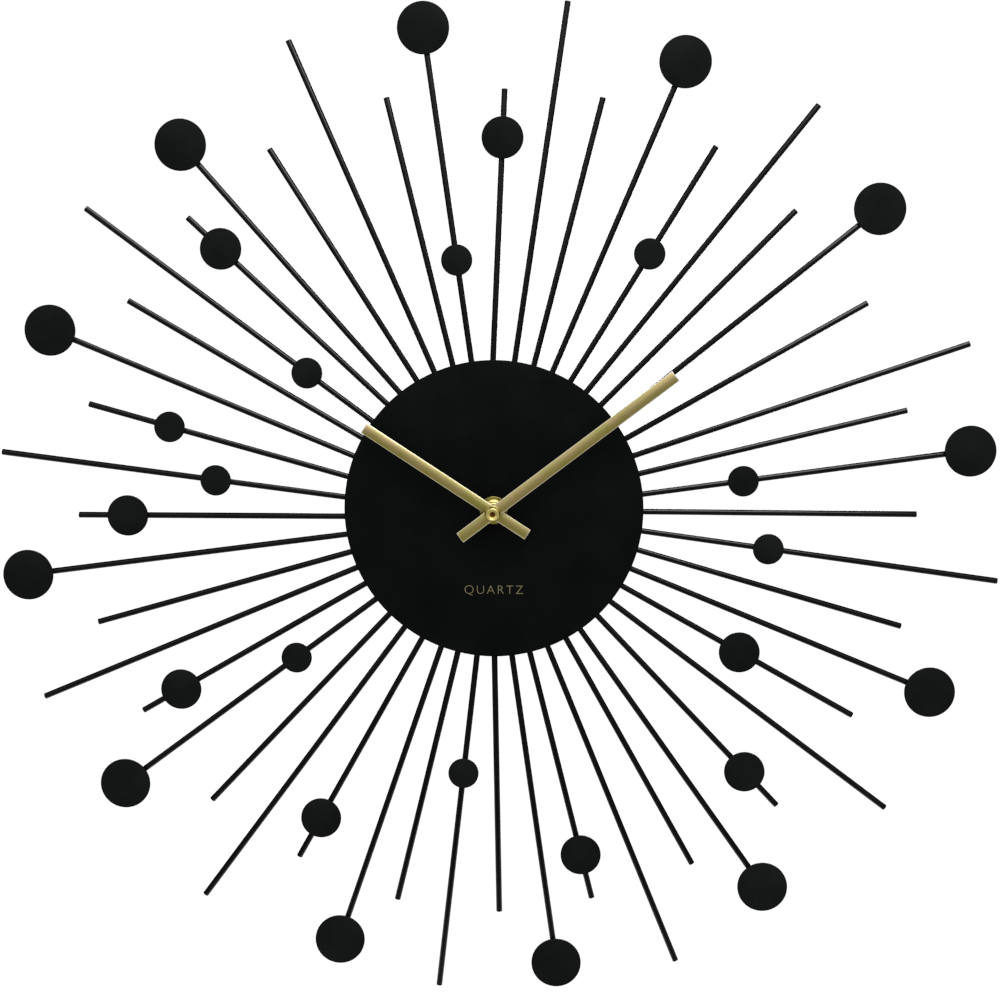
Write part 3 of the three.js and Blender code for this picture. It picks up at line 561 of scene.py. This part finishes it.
def turned(name, profile, steps, place=DIAL_AXIS, smooth_angle=SMOOTH_ANGLE):
    """Spins a closed profile of (radius, height) points about the Z axis of a place."""
    shape = bmesh.new()
    rings = []
    for radius, height in profile:
        if radius < TINY:
            rings.append([shape.verts.new(place @ Vector((0, 0, height)))] * steps)
            continue
        ring = []
        for step in range(steps):
            angle = 2 * math.pi * step / steps
            spot = Vector((radius * math.cos(angle), radius * math.sin(angle), height))
            ring.append(shape.verts.new(place @ spot))
        rings.append(ring)
    skin_between(shape, rings, closed=True)
    return finished(name, shape, smooth_angle)


def skin_between(shape, rings, closed=False):
    """Joins each ring of vertices to the next one; a ring may be one vertex repeated."""
    following = rings[1:] + rings[:1] if closed else rings[1:]
    for ring, other in zip(rings, following):
        for step in range(len(ring)):
            after = (step + 1) % len(ring)
            corners = [ring[step], ring[after], other[after], other[step]]
            unique = list(dict.fromkeys(corners))
            if len(unique) > 2:
                shape.faces.new(unique)


def swept_wire(shape, centres, radius):
    """A round wire through its centre points in the plane of the rays, with softened cut ends."""
    rings = []
    soft_end = [(0, radius - WIRE_EDGE), (WIRE_EDGE * 0.3, radius - WIRE_EDGE * 0.3),
                (WIRE_EDGE, radius)]
    last = len(centres) - 1
    for index, centre in enumerate(centres):
        direction = (centres[min(index + 1, last)] - centres[max(index - 1, 0)]).normalized()
        side = direction.cross(OUT)
        stations = [(0, radius)]
        if index == 0:
            stations = soft_end
        if index == last:
            stations = [(-shift, reach) for shift, reach in reversed(soft_end)]
        for shift, reach in stations:
            ring = []
            for step in range(WIRE_SIDES):
                angle = 2 * math.pi * step / WIRE_SIDES
                spoke = side * math.cos(angle) + OUT * math.sin(angle)
                ring.append(shape.verts.new(centre + direction * shift + spoke * reach))
            rings.append(ring)
    skin_between(shape, rings)
    shape.faces.new(rings[0])
    shape.faces.new(rings[-1])


def add_bead(shape, centre, along, half_lengths, seed):
    """A small uneven lump of weld metal: half lengths along, across and out of the dial plane."""
    across = along.cross(OUT)
    own_lumps = Vector((seed, 3.1 * seed, 0))
    rings = []
    for row in range(BEAD_ROWS + 1):
        tilt = math.pi * row / BEAD_ROWS
        ring = []
        for step in range(BEAD_SIDES):
            turn = 2 * math.pi * step / BEAD_SIDES
            unit = Vector((math.cos(tilt), math.sin(tilt) * math.cos(turn),
                           math.sin(tilt) * math.sin(turn)))
            lump = 1 + BEAD_UNEVENNESS * noise.noise(unit * BEAD_LUMPS + own_lumps)
            spot = (along * unit.x * half_lengths[0] + across * unit.y * half_lengths[1]
                    + OUT * unit.z * half_lengths[2])
            ring.append(spot * lump + centre)
        if row in (0, BEAD_ROWS):
            rings.append([shape.verts.new(ring[0])] * BEAD_SIDES)
        else:
            rings.append([shape.verts.new(spot) for spot in ring])
    skin_between(shape, rings)


def cut_away(mesh, *cutters):
    """Removes the cutters' shapes from a mesh."""
    whole = bpy.data.objects.new("whole", mesh)
    bpy.context.scene.collection.objects.link(whole)
    tools = []
    for cutter in cutters:
        tool = bpy.data.objects.new("tool", cutter)
        bpy.context.scene.collection.objects.link(tool)
        tools.append(tool)
        modifier = whole.modifiers.new("cut", "BOOLEAN")
        modifier.object = tool
        modifier.solver = "EXACT"
    bpy.context.view_layer.update()
    graph = bpy.context.evaluated_depsgraph_get()
    result = bpy.data.meshes.new_from_object(whole.evaluated_get(graph))
    for item in (whole, *tools):
        bpy.data.objects.remove(item)
    shape = bmesh.new()
    shape.from_mesh(result)
    bpy.data.meshes.remove(result)
    return finished(mesh.name, shape)


def engraver(outline, surface, depth):
    """A cutter for one sunken mark: an (x, z) outline in a face that looks to the wall."""
    shape = bmesh.new()
    rings = [[shape.verts.new((x, y, z)) for x, z in outline]
             for y in (surface + MM, surface - depth)]
    skin_between(shape, rings)
    shape.faces.new(rings[0])
    shape.faces.new(rings[1])
    return finished("mark", shape)


def refined(node, material, bevel, body=CLOCK, cutters=()):
    """The CAD node's shape with its flat faces made whole, its edges softened and marks cut."""
    shape = bmesh.new()
    shape.from_mesh(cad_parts[node].data)
    bmesh.ops.remove_doubles(shape, verts=shape.verts, dist=TINY / 2)
    bmesh.ops.dissolve_limit(
        shape, angle_limit=math.radians(0.5), verts=shape.verts, edges=shape.edges
    )
    sharp = [edge for edge in shape.edges
             if len(edge.link_faces) == 2 and edge.calc_face_angle() > math.radians(CREASE)]
    bmesh.ops.bevel(shape, geom=sharp, offset=bevel, offset_type="OFFSET", segments=2,
                    profile=0.5, affect="EDGES", clamp_overlap=True)
    mesh = finished(f"{node}_finish", shape, CREASE)
    if cutters:
        mesh = cut_away(mesh, *cutters)
    piece = add_piece(f"{node}_finish", mesh, material, body, (node,))
    even = piece.modifiers.new("even_flat_faces", "WEIGHTED_NORMAL")
    even.keep_sharp = True
    even.weight = 100


# ---- What the CAD says ----

# The CAD wire has this many sides, and these lengths tell its stretches and its rays apart.
WIRE_SIDES_IN_CAD = 8
SHORTEST_STRETCH = 100 * MM
SHORT_RAYS_END = 225 * MM

# A pair of rays that is deeper than this has discs, and no disc is as wide as this.
DEPTH_WITHOUT_DISCS = 2 * WIRE_RADIUS + 0.2 * MM
WIDER_THAN_DISCS = 27 * MM


def heights(node):
    """(rear, front) heights of a CAD node in front of the wall."""
    low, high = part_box(node)
    return -high.y, -low.y


def outer_radius(node):
    low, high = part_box(node)
    return (high.x - low.x) / 2


def mean(points):
    return sum(points, Vector()) / len(points)


def straight_runs(node):
    """The (root, tip) centres of a bent wire's two straight stretches, the shorter one first.

    They are read from the long edges of the CAD wire's rearmost facet."""
    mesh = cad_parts[node].data
    rear = max(vertex.co.y for vertex in mesh.vertices)
    centre_y = rear - WIRE_RADIUS * math.cos(math.pi / WIRE_SIDES_IN_CAD)
    ends_of = {False: (set(), set()), True: (set(), set())}
    for edge in mesh.edges:
        ends = [mesh.vertices[index].co for index in edge.vertices]
        on_facet = min(end.y for end in ends) > rear - TINY
        if on_facet and (ends[0] - ends[1]).length > SHORTEST_STRETCH:
            root, tip = sorted(ends, key=lambda end: end.length)
            roots, tips = ends_of[tip.length > SHORT_RAYS_END]
            roots.add(tuple(round(c, 6) for c in root))
            tips.add(tuple(round(c, 6) for c in tip))
    runs = []
    for is_long in (False, True):
        run = []
        for points in ends_of[is_long]:
            centre = mean([Vector(point) for point in points])
            run.append(Vector((centre.x, centre_y, centre.z)))
        runs.append(run)
    return runs


def disc_places(node):
    """(centre of the front face, radius) of each disc on a pair of rays."""
    low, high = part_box(node)
    if high.y - low.y < DEPTH_WITHOUT_DISCS:
        return []
    rims = []
    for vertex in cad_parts[node].data.vertices:
        if vertex.co.y > low.y + TINY:
            continue
        near = [rim for rim in rims if (rim[0] - vertex.co).length < WIDER_THAN_DISCS]
        if near:
            near[0].append(vertex.co)
        else:
            rims.append([vertex.co])
    places = []
    for rim in rims:
        lows = Vector([min(point[axis] for point in rim) for axis in range(3)])
        highs = Vector([max(point[axis] for point in rim) for axis in range(3)])
        places.append(((lows + highs) / 2, (highs.x - lows.x) / 2))
    return places


# ---- Sunburst ----

BEND_STEPS = 12
DISC_THICKNESS = 1.2 * MM
DISC_EDGE = 0.3 * MM
DISC_WELD_OFFSET = 1.15 * MM
RING_SECTION_STEPS = 20

# Half lengths of a weld, and how far its middle lies behind the disc or wire that it holds.
RING_WELD = (1.5 * MM, 1.4 * MM, 0.7 * MM)
BRACKET_WELD = (0.9 * MM, 1.6 * MM, 0.7 * MM)
BRACKET_WELD_OFFSET = 0.3 * MM
WELD_BEHIND = 0.2 * MM
PAIRS = [name for name in sorted(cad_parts) if name.startswith("ray_pair")]


def bend_between(from_point, to_point):
    """The round bend that joins two wires' inner ends."""
    middle = (from_point + to_point) / 2
    across = from_point - middle
    inward = Vector((-middle.x, 0, -middle.z)).normalized() * across.length
    points = []
    for step in range(BEND_STEPS + 1):
        angle = math.pi * step / BEND_STEPS
        points.append(middle + across * math.cos(angle) + inward * math.sin(angle))
    return points


def build_wire(pair_name, material):
    (short_root, short_tip), (long_root, long_tip) = straight_runs(pair_name)
    shape = bmesh.new()
    path = [short_tip, *bend_between(short_root, long_root), long_tip]
    swept_wire(shape, path, WIRE_RADIUS)
    name = pair_name.replace("ray_pair", "ray_wire")
    mesh = finished(name, shape, WIRE_SMOOTH_ANGLE)
    add_piece(name, mesh, material, nodes=(pair_name,))


def build_disc(name, centre, radius, material):
    front = -centre.y
    corners = ring_outline(0, radius, front - DISC_THICKNESS, front)
    place = Matrix.Translation((centre.x, 0, centre.z)) @ DIAL_AXIS
    mesh = turned(name, rounded(corners, DISC_EDGE, closed=False), steps=96, place=place)
    add_piece(name, mesh, material)


def weld_disc(shape, centre, radius, seed):
    """Two beads behind a disc, one on each side of its wire."""
    along = Vector((centre.x, 0, centre.z)).normalized()
    across = along.cross(OUT)
    rear = Vector((centre.x, centre.y + DISC_THICKNESS, centre.z)) - OUT * WELD_BEHIND
    half_lengths = (0.3 * radius, 0.75 * MM, 0.6 * MM)
    for side in (-1, 1):
        place = rear + (across * DISC_WELD_OFFSET + along * 0.3 * radius) * side
        add_bead(shape, place, along, half_lengths, seed + 0.37 * side)


def build_rays(materials):
    welds = bmesh.new()
    number = 0
    for pair_name in PAIRS:
        build_wire(pair_name, materials["wire"])
        for centre, radius in disc_places(pair_name):
            number += 1
            build_disc(f"disc_{number:02d}", centre, radius, materials["disc"])
            weld_disc(welds, centre, radius, number)
    mesh = finished("disc_welds", welds, WELD_SMOOTH_ANGLE)
    add_piece("disc_welds", mesh, materials["frame"])


def crossing(root, tip, radius):
    """Where the line of a ray crosses a circle around the axis of the hands."""
    start = Vector((root.x, root.z))
    heading = (Vector((tip.x, tip.z)) - start).normalized()
    nearest = start.dot(heading)
    distance = -nearest + math.sqrt(nearest ** 2 - start.length_squared + radius ** 2)
    spot = start + heading * distance
    return Vector((spot.x, root.y, spot.y)), Vector((heading.x, 0, heading.y))


def build_hub_rings(material):
    """The two rings behind the rays, welded to each ray where they cross."""
    welds = bmesh.new()
    for node in ("hub_ring_inner", "hub_ring_outer"):
        rear, front = heights(node)
        radius = outer_radius(node) - RING_WIRE_RADIUS
        section = round_outline(radius, (rear + front) / 2, RING_WIRE_RADIUS, RING_SECTION_STEPS)
        name = f"{node}_wire"
        add_piece(name, turned(name, section, steps=160), material,
                  nodes=(node,))
        for index, pair_name in enumerate(PAIRS):
            for root, tip in straight_runs(pair_name):
                spot, heading = crossing(root, tip, radius)
                place = spot - OUT * (WIRE_RADIUS + WELD_BEHIND)
                add_bead(welds, place, heading, RING_WELD, index + tip.x)
    mesh = finished("ring_welds", welds, WELD_SMOOTH_ANGLE)
    add_piece("ring_welds", mesh, material)


# ---- Hanging bracket ----


def build_bracket(material):
    """The folded keyhole plate, with a weld at each side of both its feet."""
    refined("hanging_bracket", material, 0.25 * MM)
    low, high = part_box("hanging_bracket")
    half = (high.x - low.x) / 2
    welds = bmesh.new()
    for seed, ring in enumerate(("hub_ring_inner", "hub_ring_outer")):
        radius = outer_radius(ring) - RING_WIRE_RADIUS
        height = math.sqrt(radius ** 2 - half ** 2)
        for side in (-1, 1):
            place = Vector((side * (half + BRACKET_WELD_OFFSET), low.y, height))
            add_bead(welds, place, Vector((1, 0, 0)), BRACKET_WELD, seed + side)
    mesh = finished("bracket_welds", welds, WELD_SMOOTH_ANGLE)
    add_piece("bracket_welds", mesh, material)


# ---- Set of materials ----


def add_materials():
    return {
        "wire": powder_coat("black_wire", (0.0096, 0.01, 0.0098), rough=0.18, gloss=0.38),
        "disc": powder_coat("black_disc", (0.0174, 0.0195, 0.0187), rough=0.55, gloss=0.2),
        "frame": powder_coat("black_frame", (0.012, 0.0122, 0.0122), rough=0.4, gloss=0.5),
        "print": powder_coat("gold_print", (0.18, 0.155, 0.1), rough=0.5, gloss=0.4),
        "dial": powder_coat("black_dial", (0.0112, 0.0136, 0.013), rough=0.5, gloss=0.15,
                            dust=True),
        # Both brasses carry painted shade beyond a radius, and the cap nut also carries it in its
        # recess.
        "brass": turned_brass("polished_brass", 0.3, 0.0004 * MM, painted_shade_beyond=5.6 * MM),
        "cap_brass": turned_brass("cap_nut_brass", 0.3, 0.0004 * MM, recess_shade_within=1.2 * MM,
                                  painted_shade_beyond=3.35 * MM),
        "rough_brass": turned_brass("turned_brass", 0.28, 0.01 * MM, TURNED_BRASS),
        "steel": brushed_steel(),
        "black_plastic": moulded_plastic("black_plastic", (0.024, 0.024, 0.025), 0.45),
        "white_plastic": moulded_plastic("white_acetal", (0.72, 0.71, 0.67), 0.42),
        "amber_plastic": moulded_plastic("amber_plastic", (0.45, 0.16, 0.03), 0.4),
        "rubber": moulded_plastic("washer_rubber", (0.018, 0.018, 0.018), 0.8, 0.03 * MM, 0.3),
        "copper": copper_winding(),
        "board": circuit_green(),
    }


# ---- Dial and its fixing ----

# The hole that clears the threaded bush, and the holes for the hour pipe and the minute arbor.
BUSH_HOLE = 4.1 * MM
HOUR_EYE = 2.35 * MM
MINUTE_EYE = 1.65 * MM
DIAL_EDGE = 0.35 * MM

WORD = "QUARTZ"
LETTER_SIZE = 6.4 * MM
WORD_BELOW_CENTRE = 0.545


def build_dial(material):
    corners = ring_outline(BUSH_HOLE, outer_radius("dial_plate"), *heights("dial_plate"))
    mesh = turned("dial_face", rounded(corners, DIAL_EDGE), steps=256)
    add_piece("dial_face", mesh, material, nodes=("dial_plate",))


def build_dial_word(material):
    """A plain word printed on the lower half of the dial."""
    text = bpy.data.curves.new("dial_word", "FONT")
    text.body = WORD
    text.size = LETTER_SIZE
    text.space_character = 1.25
    text.align_x = "CENTER"
    text.align_y = "CENTER"
    text.extrude = 0.03 * MM
    text.offset = -0.06 * MM
    written = bpy.data.objects.new("dial_word", text)
    bpy.context.scene.collection.objects.link(written)
    bpy.context.view_layer.update()
    graph = bpy.context.evaluated_depsgraph_get()
    letters = bpy.data.meshes.new_from_object(written.evaluated_get(graph))
    bpy.data.objects.remove(written)
    front = heights("dial_plate")[1]
    below = WORD_BELOW_CENTRE * outer_radius("dial_plate")
    letters.transform(Matrix.Translation((0, -front - 0.02 * MM, -below)) @ DIAL_AXIS)
    shape = bmesh.new()
    shape.from_mesh(letters)
    bpy.data.meshes.remove(letters)
    add_piece("dial_word", finished("dial_word", shape), material)


def washer(node, hole, material, body=CLOCK, edge=0.12 * MM):
    """A flat ring or a collar with softened edges."""
    corners = ring_outline(hole, outer_radius(node), *heights(node))
    name = f"{node}_finish"
    mesh = turned(name, rounded(corners, edge), steps=96)
    add_piece(name, mesh, material, body, (node,))


def build_bushing(material):
    """The threaded bush: a smooth bore, a flange and a neck, and a fine thread outside."""
    rear, front = heights("threaded_bushing")
    flange_front = rear + 0.7 * MM
    radius, bore, flange = 4 * MM, 2.7 * MM, 5.0 * MM
    pitch, neck_length, plain_end, chamfer = 0.6 * MM, 2.4 * MM, 0.3 * MM, 0.25 * MM
    core = radius - 0.32 * MM
    profile = [(bore, rear), (flange, rear), (flange, flange_front), (core, flange_front)]
    height = flange_front + neck_length
    while height + pitch < front - plain_end:
        profile += [(core, height), (radius, height + pitch * 0.45),
                    (radius, height + pitch * 0.55)]
        height += pitch
    profile += [(core, height), (core, front), (bore + chamfer, front), (bore, front - chamfer)]
    mesh = turned("bushing_thread", profile, steps=96, smooth_angle=25)
    add_piece("bushing_thread", mesh, material, nodes=("threaded_bushing",))


def build_nut(material):
    """A round nut: a flat flange, then a boss with a full round shoulder."""
    rear, front = heights("bushing_nut")
    radius = outer_radius("bushing_nut")
    boss, shoulder, shelf = 5.5 * MM, 1.2 * MM, rear + 1.7 * MM
    flange = vectors((BUSH_HOLE, rear), (radius, rear), (radius, shelf), (boss, shelf))
    profile = rounded(flange, 0.25 * MM, closed=False)
    for angle in quarter_turn(10):
        profile.append((boss - shoulder * (1 - math.cos(angle)),
                        front - shoulder * (1 - math.sin(angle))))
    profile += [(BUSH_HOLE + 0.1 * MM, front), (BUSH_HOLE, front - 0.15 * MM)]
    mesh = turned("bushing_nut_finish", profile, steps=160)
    add_piece("bushing_nut_finish", mesh, material, nodes=("bushing_nut",))


def build_cap_nut(material):
    """The nut on the minute arbor: a collar, and a round crest about a shallow recess."""
    rear, front = heights("hand_cap_nut")
    collar, radius, crest, recess = 4.1 * MM, 3.6 * MM, 2.7 * MM, 1.7 * MM
    shoulder_height, inner_edge = 2 * MM, 0.55 * MM
    bore, bore_depth, recess_depth = 1.25 * MM, 2.6 * MM, 0.8 * MM
    foot = vectors((bore, rear), (collar, rear), (collar, rear + 0.6 * MM),
                   (radius, rear + 0.8 * MM), (radius, front - shoulder_height))
    profile = rounded(foot, 0.15 * MM, closed=False)
    angles = quarter_turn(16)[1:]
    for angle in angles:
        profile.append((crest + (radius - crest) * math.cos(angle),
                        front - shoulder_height * (1 - math.sin(angle))))
    for angle in angles:
        profile.append((crest - inner_edge * math.sin(angle),
                        front - inner_edge * (1 - math.cos(angle))))
    floor = front - recess_depth
    profile += [(recess, floor + 0.1 * MM), (recess - 0.2 * MM, floor), (0, floor),
                (0, rear + bore_depth), (bore, rear + bore_depth)]
    mesh = turned("cap_nut_crest", profile, steps=128)
    add_piece("cap_nut_crest", mesh, material, MINUTE, ("hand_cap_nut",))


# ---- Hands ----

CROWN_STEPS = 24
CROWN_HEIGHT = 0.8 * MM
CROWN_SHARE = 0.8
HAND_EDGE = 0.3 * MM
HAND_SHOULDER = 0.45 * MM
OUTSIDE_THE_EYE = 10 * MM


def hand_ends(node):
    """The middles of a hand's tail and of its tip, on its rear face."""
    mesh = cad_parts[node].data
    rear = max(vertex.co.y for vertex in mesh.vertices)
    corners = set()
    for vertex in mesh.vertices:
        reach = math.hypot(vertex.co.x, vertex.co.z)
        if vertex.co.y > rear - TINY and reach > OUTSIDE_THE_EYE:
            corners.add(tuple(round(c, 6) for c in vertex.co))
    corners = sorted((Vector(corner) for corner in corners), key=lambda corner: corner.length)
    return mean(corners[:2]), mean(corners[-2:])


def hand_section(side):
    """A hand's outline: a flat rear, upright sides, round shoulders and a crowned face.

    Only the middle share of the crown's arc is kept, and the shoulders fall away from there."""
    half, crown = HAND_HALF, CROWN_HEIGHT
    crown_radius = (half ** 2 + crown ** 2) / (2 * crown)
    spread = math.asin(half / crown_radius) * CROWN_SHARE
    face = []
    for step in range(CROWN_STEPS + 1):
        angle = spread * (1 - 2 * step / CROWN_STEPS)
        drop = crown_radius * (1 - math.cos(angle))
        face.append(Vector((crown_radius * math.sin(angle), side + crown - drop)))
    right = vectors((0, 0), (half, 0), (half, side), face[0])
    left = [Vector((-point.x, point.y)) for point in reversed(right)]
    shoulders = [rounded(corners, HAND_SHOULDER, 4, closed=False) for corners in (right, left)]
    return shoulders[0] + face[1:-1] + shoulders[1][:-1]


def build_hand(node, eye, material, body):
    """A baton with a crowned face, softened ends and a round eye for its arbor."""
    tail, tip = hand_ends(node)
    rear, front = heights(node)
    thickness = front - rear
    heading = (tip - tail).normalized()
    side = heading.cross(OUT)
    section = hand_section(thickness - CROWN_HEIGHT)
    length = (tip - tail).length
    soft_end = [(HAND_EDGE * (1 - math.sin(turn)), HAND_EDGE * (1 - math.cos(turn)))
                for turn in (0, math.pi / 6, math.pi / 3, math.pi / 2)]
    stations = [(along, inset) for inset, along in soft_end]
    stations += [(length * share, 0) for share in (0.25, 0.5, 0.75)]
    stations += [(length - along, inset) for inset, along in reversed(soft_end)]
    shape = bmesh.new()
    rings = []
    for distance, inset in stations:
        narrower = 1 - inset / HAND_HALF
        lower = 1 - inset / thickness
        rings.append([
            shape.verts.new(tail + heading * distance + side * point.x * narrower
                            + OUT * point.y * lower)
            for point in section
        ])
    skin_between(shape, rings)
    shape.faces.new(rings[0])
    shape.faces.new(rings[-1])
    name = f"{node}_blade"
    drill = turned("bore", ring_outline(0, eye, rear - MM, front + MM), steps=48)
    blade = cut_away(finished(name, shape), drill)
    add_piece(name, blade, material, body, (node,))


def gold_for(name, node):
    """The gold of one hand, brushed along it."""
    tail, tip = hand_ends(node)
    bearing = math.atan2(tip.x - tail.x, tip.z - tail.z)
    return satin_gold(name, bearing, math.hypot(tail.x, tail.z), math.hypot(tip.x, tip.z))


def build_hands(materials):
    hour = gold_for("gold_hour_hand", "hour_hand")
    minute = gold_for("gold_minute_hand", "minute_hand")
    build_hand("hour_hand", HOUR_EYE, hour, HOUR)
    build_hand("minute_hand", MINUTE_EYE, minute, MINUTE)
    washer("hour_hand_collet", HOUR_EYE, materials["rough_brass"], HOUR)
    washer("minute_hand_collet", MINUTE_EYE, materials["rough_brass"], MINUTE)


# ---- Movement ----


def build_cell():
    """One AA cell: a crimped can with a button at its positive end."""
    low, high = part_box("battery_cell")
    radius = (high.z - low.z) / 2
    centre = (low + high) / 2
    length = high.x - low.x
    button, button_radius = 1.3 * MM, 2.7 * MM
    shoulder = length - button
    corners = vectors((0, 0), (radius - 0.3 * MM, 0), (radius, 0.8 * MM),
                      (radius, shoulder - 1.0 * MM), (radius - 0.6 * MM, shoulder),
                      (button_radius + 0.6 * MM, shoulder - 0.3 * MM),
                      (button_radius, shoulder), (button_radius, length), (0, length))
    place = Matrix.Translation((low.x, centre.y, centre.z)) @ Matrix.Rotation(math.pi / 2, 4, "Y")
    mesh = turned("cell_can", rounded(corners, 0.25 * MM, closed=False), steps=96, place=place)
    add_piece("cell_can", mesh, cell_jacket(low.x, high.x), nodes=("battery_cell",))


# A mark's depth and half the width of its strokes, and the places of the marks on the cover.
MARK_DEPTH = 0.6 * MM
MARK_HALF_STROKE = 0.6 * MM
POLE_REACH = 2.4 * MM
POLE_FROM_SIDE = 5 * MM
POLE_FROM_BOTTOM = 4 * MM
ARROW_FROM_KNOB = 3.2 * MM
ARROW_HEAD = 1.6 * MM
ARROW_END = math.radians(60)
ARC_STEPS = 24
EJECTOR_RADIUS = 1.6 * MM
EJECTOR_FROM_TOP = 4.5 * MM
EJECTOR_FROM_MIDDLE = 22 * MM
LONE_EJECTOR = (16 * MM, 4 * MM)


def plus_outline(x, z):
    """A plus sign about a point, drawn arm by arm."""
    reach, half = POLE_REACH, MARK_HALF_STROKE
    corners = []
    for right, up in ((1, 1), (-1, 1), (-1, -1), (1, -1)):
        tips = [(right * reach, up * half), (right * half, up * half), (right * half, up * reach)]
        corners += tips if right == up else tips[::-1]
    return [(x + across, z + rise) for across, rise in corners]


def minus_outline(x, z):
    reach, half = POLE_REACH, MARK_HALF_STROKE
    return [(x - reach, z - half), (x + reach, z - half), (x + reach, z + half),
            (x - reach, z + half)]


def double_arrow_outline(x, z, radius):
    """An arc about a point, with a slender arrow head at both ends."""
    half, head, end = MARK_HALF_STROKE, ARROW_HEAD, ARROW_END
    head_angle = 2.2 * head / radius

    def at(reach, angle):
        return (x + reach * math.cos(angle), z + reach * math.sin(angle))

    turns = [end * (2 * step / ARC_STEPS - 1) for step in range(ARC_STEPS + 1)]
    outer = [at(radius + half, turn) for turn in turns]
    inner = [at(radius - half, turn) for turn in reversed(turns)]
    last = [at(radius + head, end), at(radius, end + head_angle), at(radius - head, end)]
    first = [at(radius - head, -end), at(radius, -end - head_angle), at(radius + head, -end)]
    return outer + last + inner + first


def cover_marks():
    """What is sunk into the back cover: the cell's poles, the setting arrow and ejector marks."""
    low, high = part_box("movement_back_cover")
    knob_low, knob_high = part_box("setting_knob")
    knob = (knob_low + knob_high) / 2
    knob_radius = (knob_high.x - knob_low.x) / 2
    pole_x, pole_z = high.x - POLE_FROM_SIDE, low.z + POLE_FROM_BOTTOM
    outlines = [
        plus_outline(pole_x, pole_z),
        minus_outline(-pole_x, pole_z),
        double_arrow_outline(knob.x, knob.z, knob_radius + ARROW_FROM_KNOB),
    ]
    ejectors = [(side * EJECTOR_FROM_MIDDLE, high.z - EJECTOR_FROM_TOP) for side in (-1, 1)]
    for x, z in (*ejectors, LONE_EJECTOR):
        outlines.append(round_outline(x, z, EJECTOR_RADIUS))
    return [engraver(outline, high.y, MARK_DEPTH) for outline in outlines]


def clothe(node, material):
    """Gives a CAD node that is shown as it is its finished material."""
    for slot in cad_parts[node].material_slots:
        slot.material = material


def build_movement(materials):
    black, white, steel = (materials[name] for name in ("black_plastic", "white_plastic", "steel"))
    refined("movement_case", black, 0.3 * MM)
    refined("movement_back_cover", black, 0.2 * MM, cutters=cover_marks())
    refined("middle_plate", white, 0.1 * MM)
    refined("setting_knob", black, 0.12 * MM, KNOB)
    refined("stator", steel, 0.08 * MM)
    refined("coil_bobbin", materials["amber_plastic"], 0.12 * MM)
    refined("coil_winding", materials["copper"], 0.25 * MM)
    refined("circuit_board", materials["board"], 0.08 * MM)
    refined("ic_chip", black, 0.12 * MM)
    refined("crystal_can", steel, 0.15 * MM)
    for node in ("battery_contact_positive", "battery_contact_negative"):
        refined(node, steel, 0.08 * MM)
    build_cell()
    for node in ("minute_wheel", "hour_wheel", "third_wheel", "seconds_wheel",
                 "intermediate_wheel"):
        clothe(node, white)
    for node in ("rotor", "cannon_pinion"):
        clothe(node, steel)
    clothe("centre_wheel", materials["rough_brass"])


def main():
    add_studio()
    materials = add_materials()
    build_rays(materials)
    build_hub_rings(materials["frame"])
    build_bracket(materials["frame"])
    build_dial(materials["dial"])
    build_dial_word(materials["print"])
    washer("rubber_washer", BUSH_HOLE, materials["rubber"], edge=0.25 * MM)
    washer("dial_washer", BUSH_HOLE, materials["rough_brass"])
    build_bushing(materials["rough_brass"])
    build_nut(materials["brass"])
    build_hands(materials)
    build_cap_nut(materials["cap_brass"])
    build_movement(materials)


main()
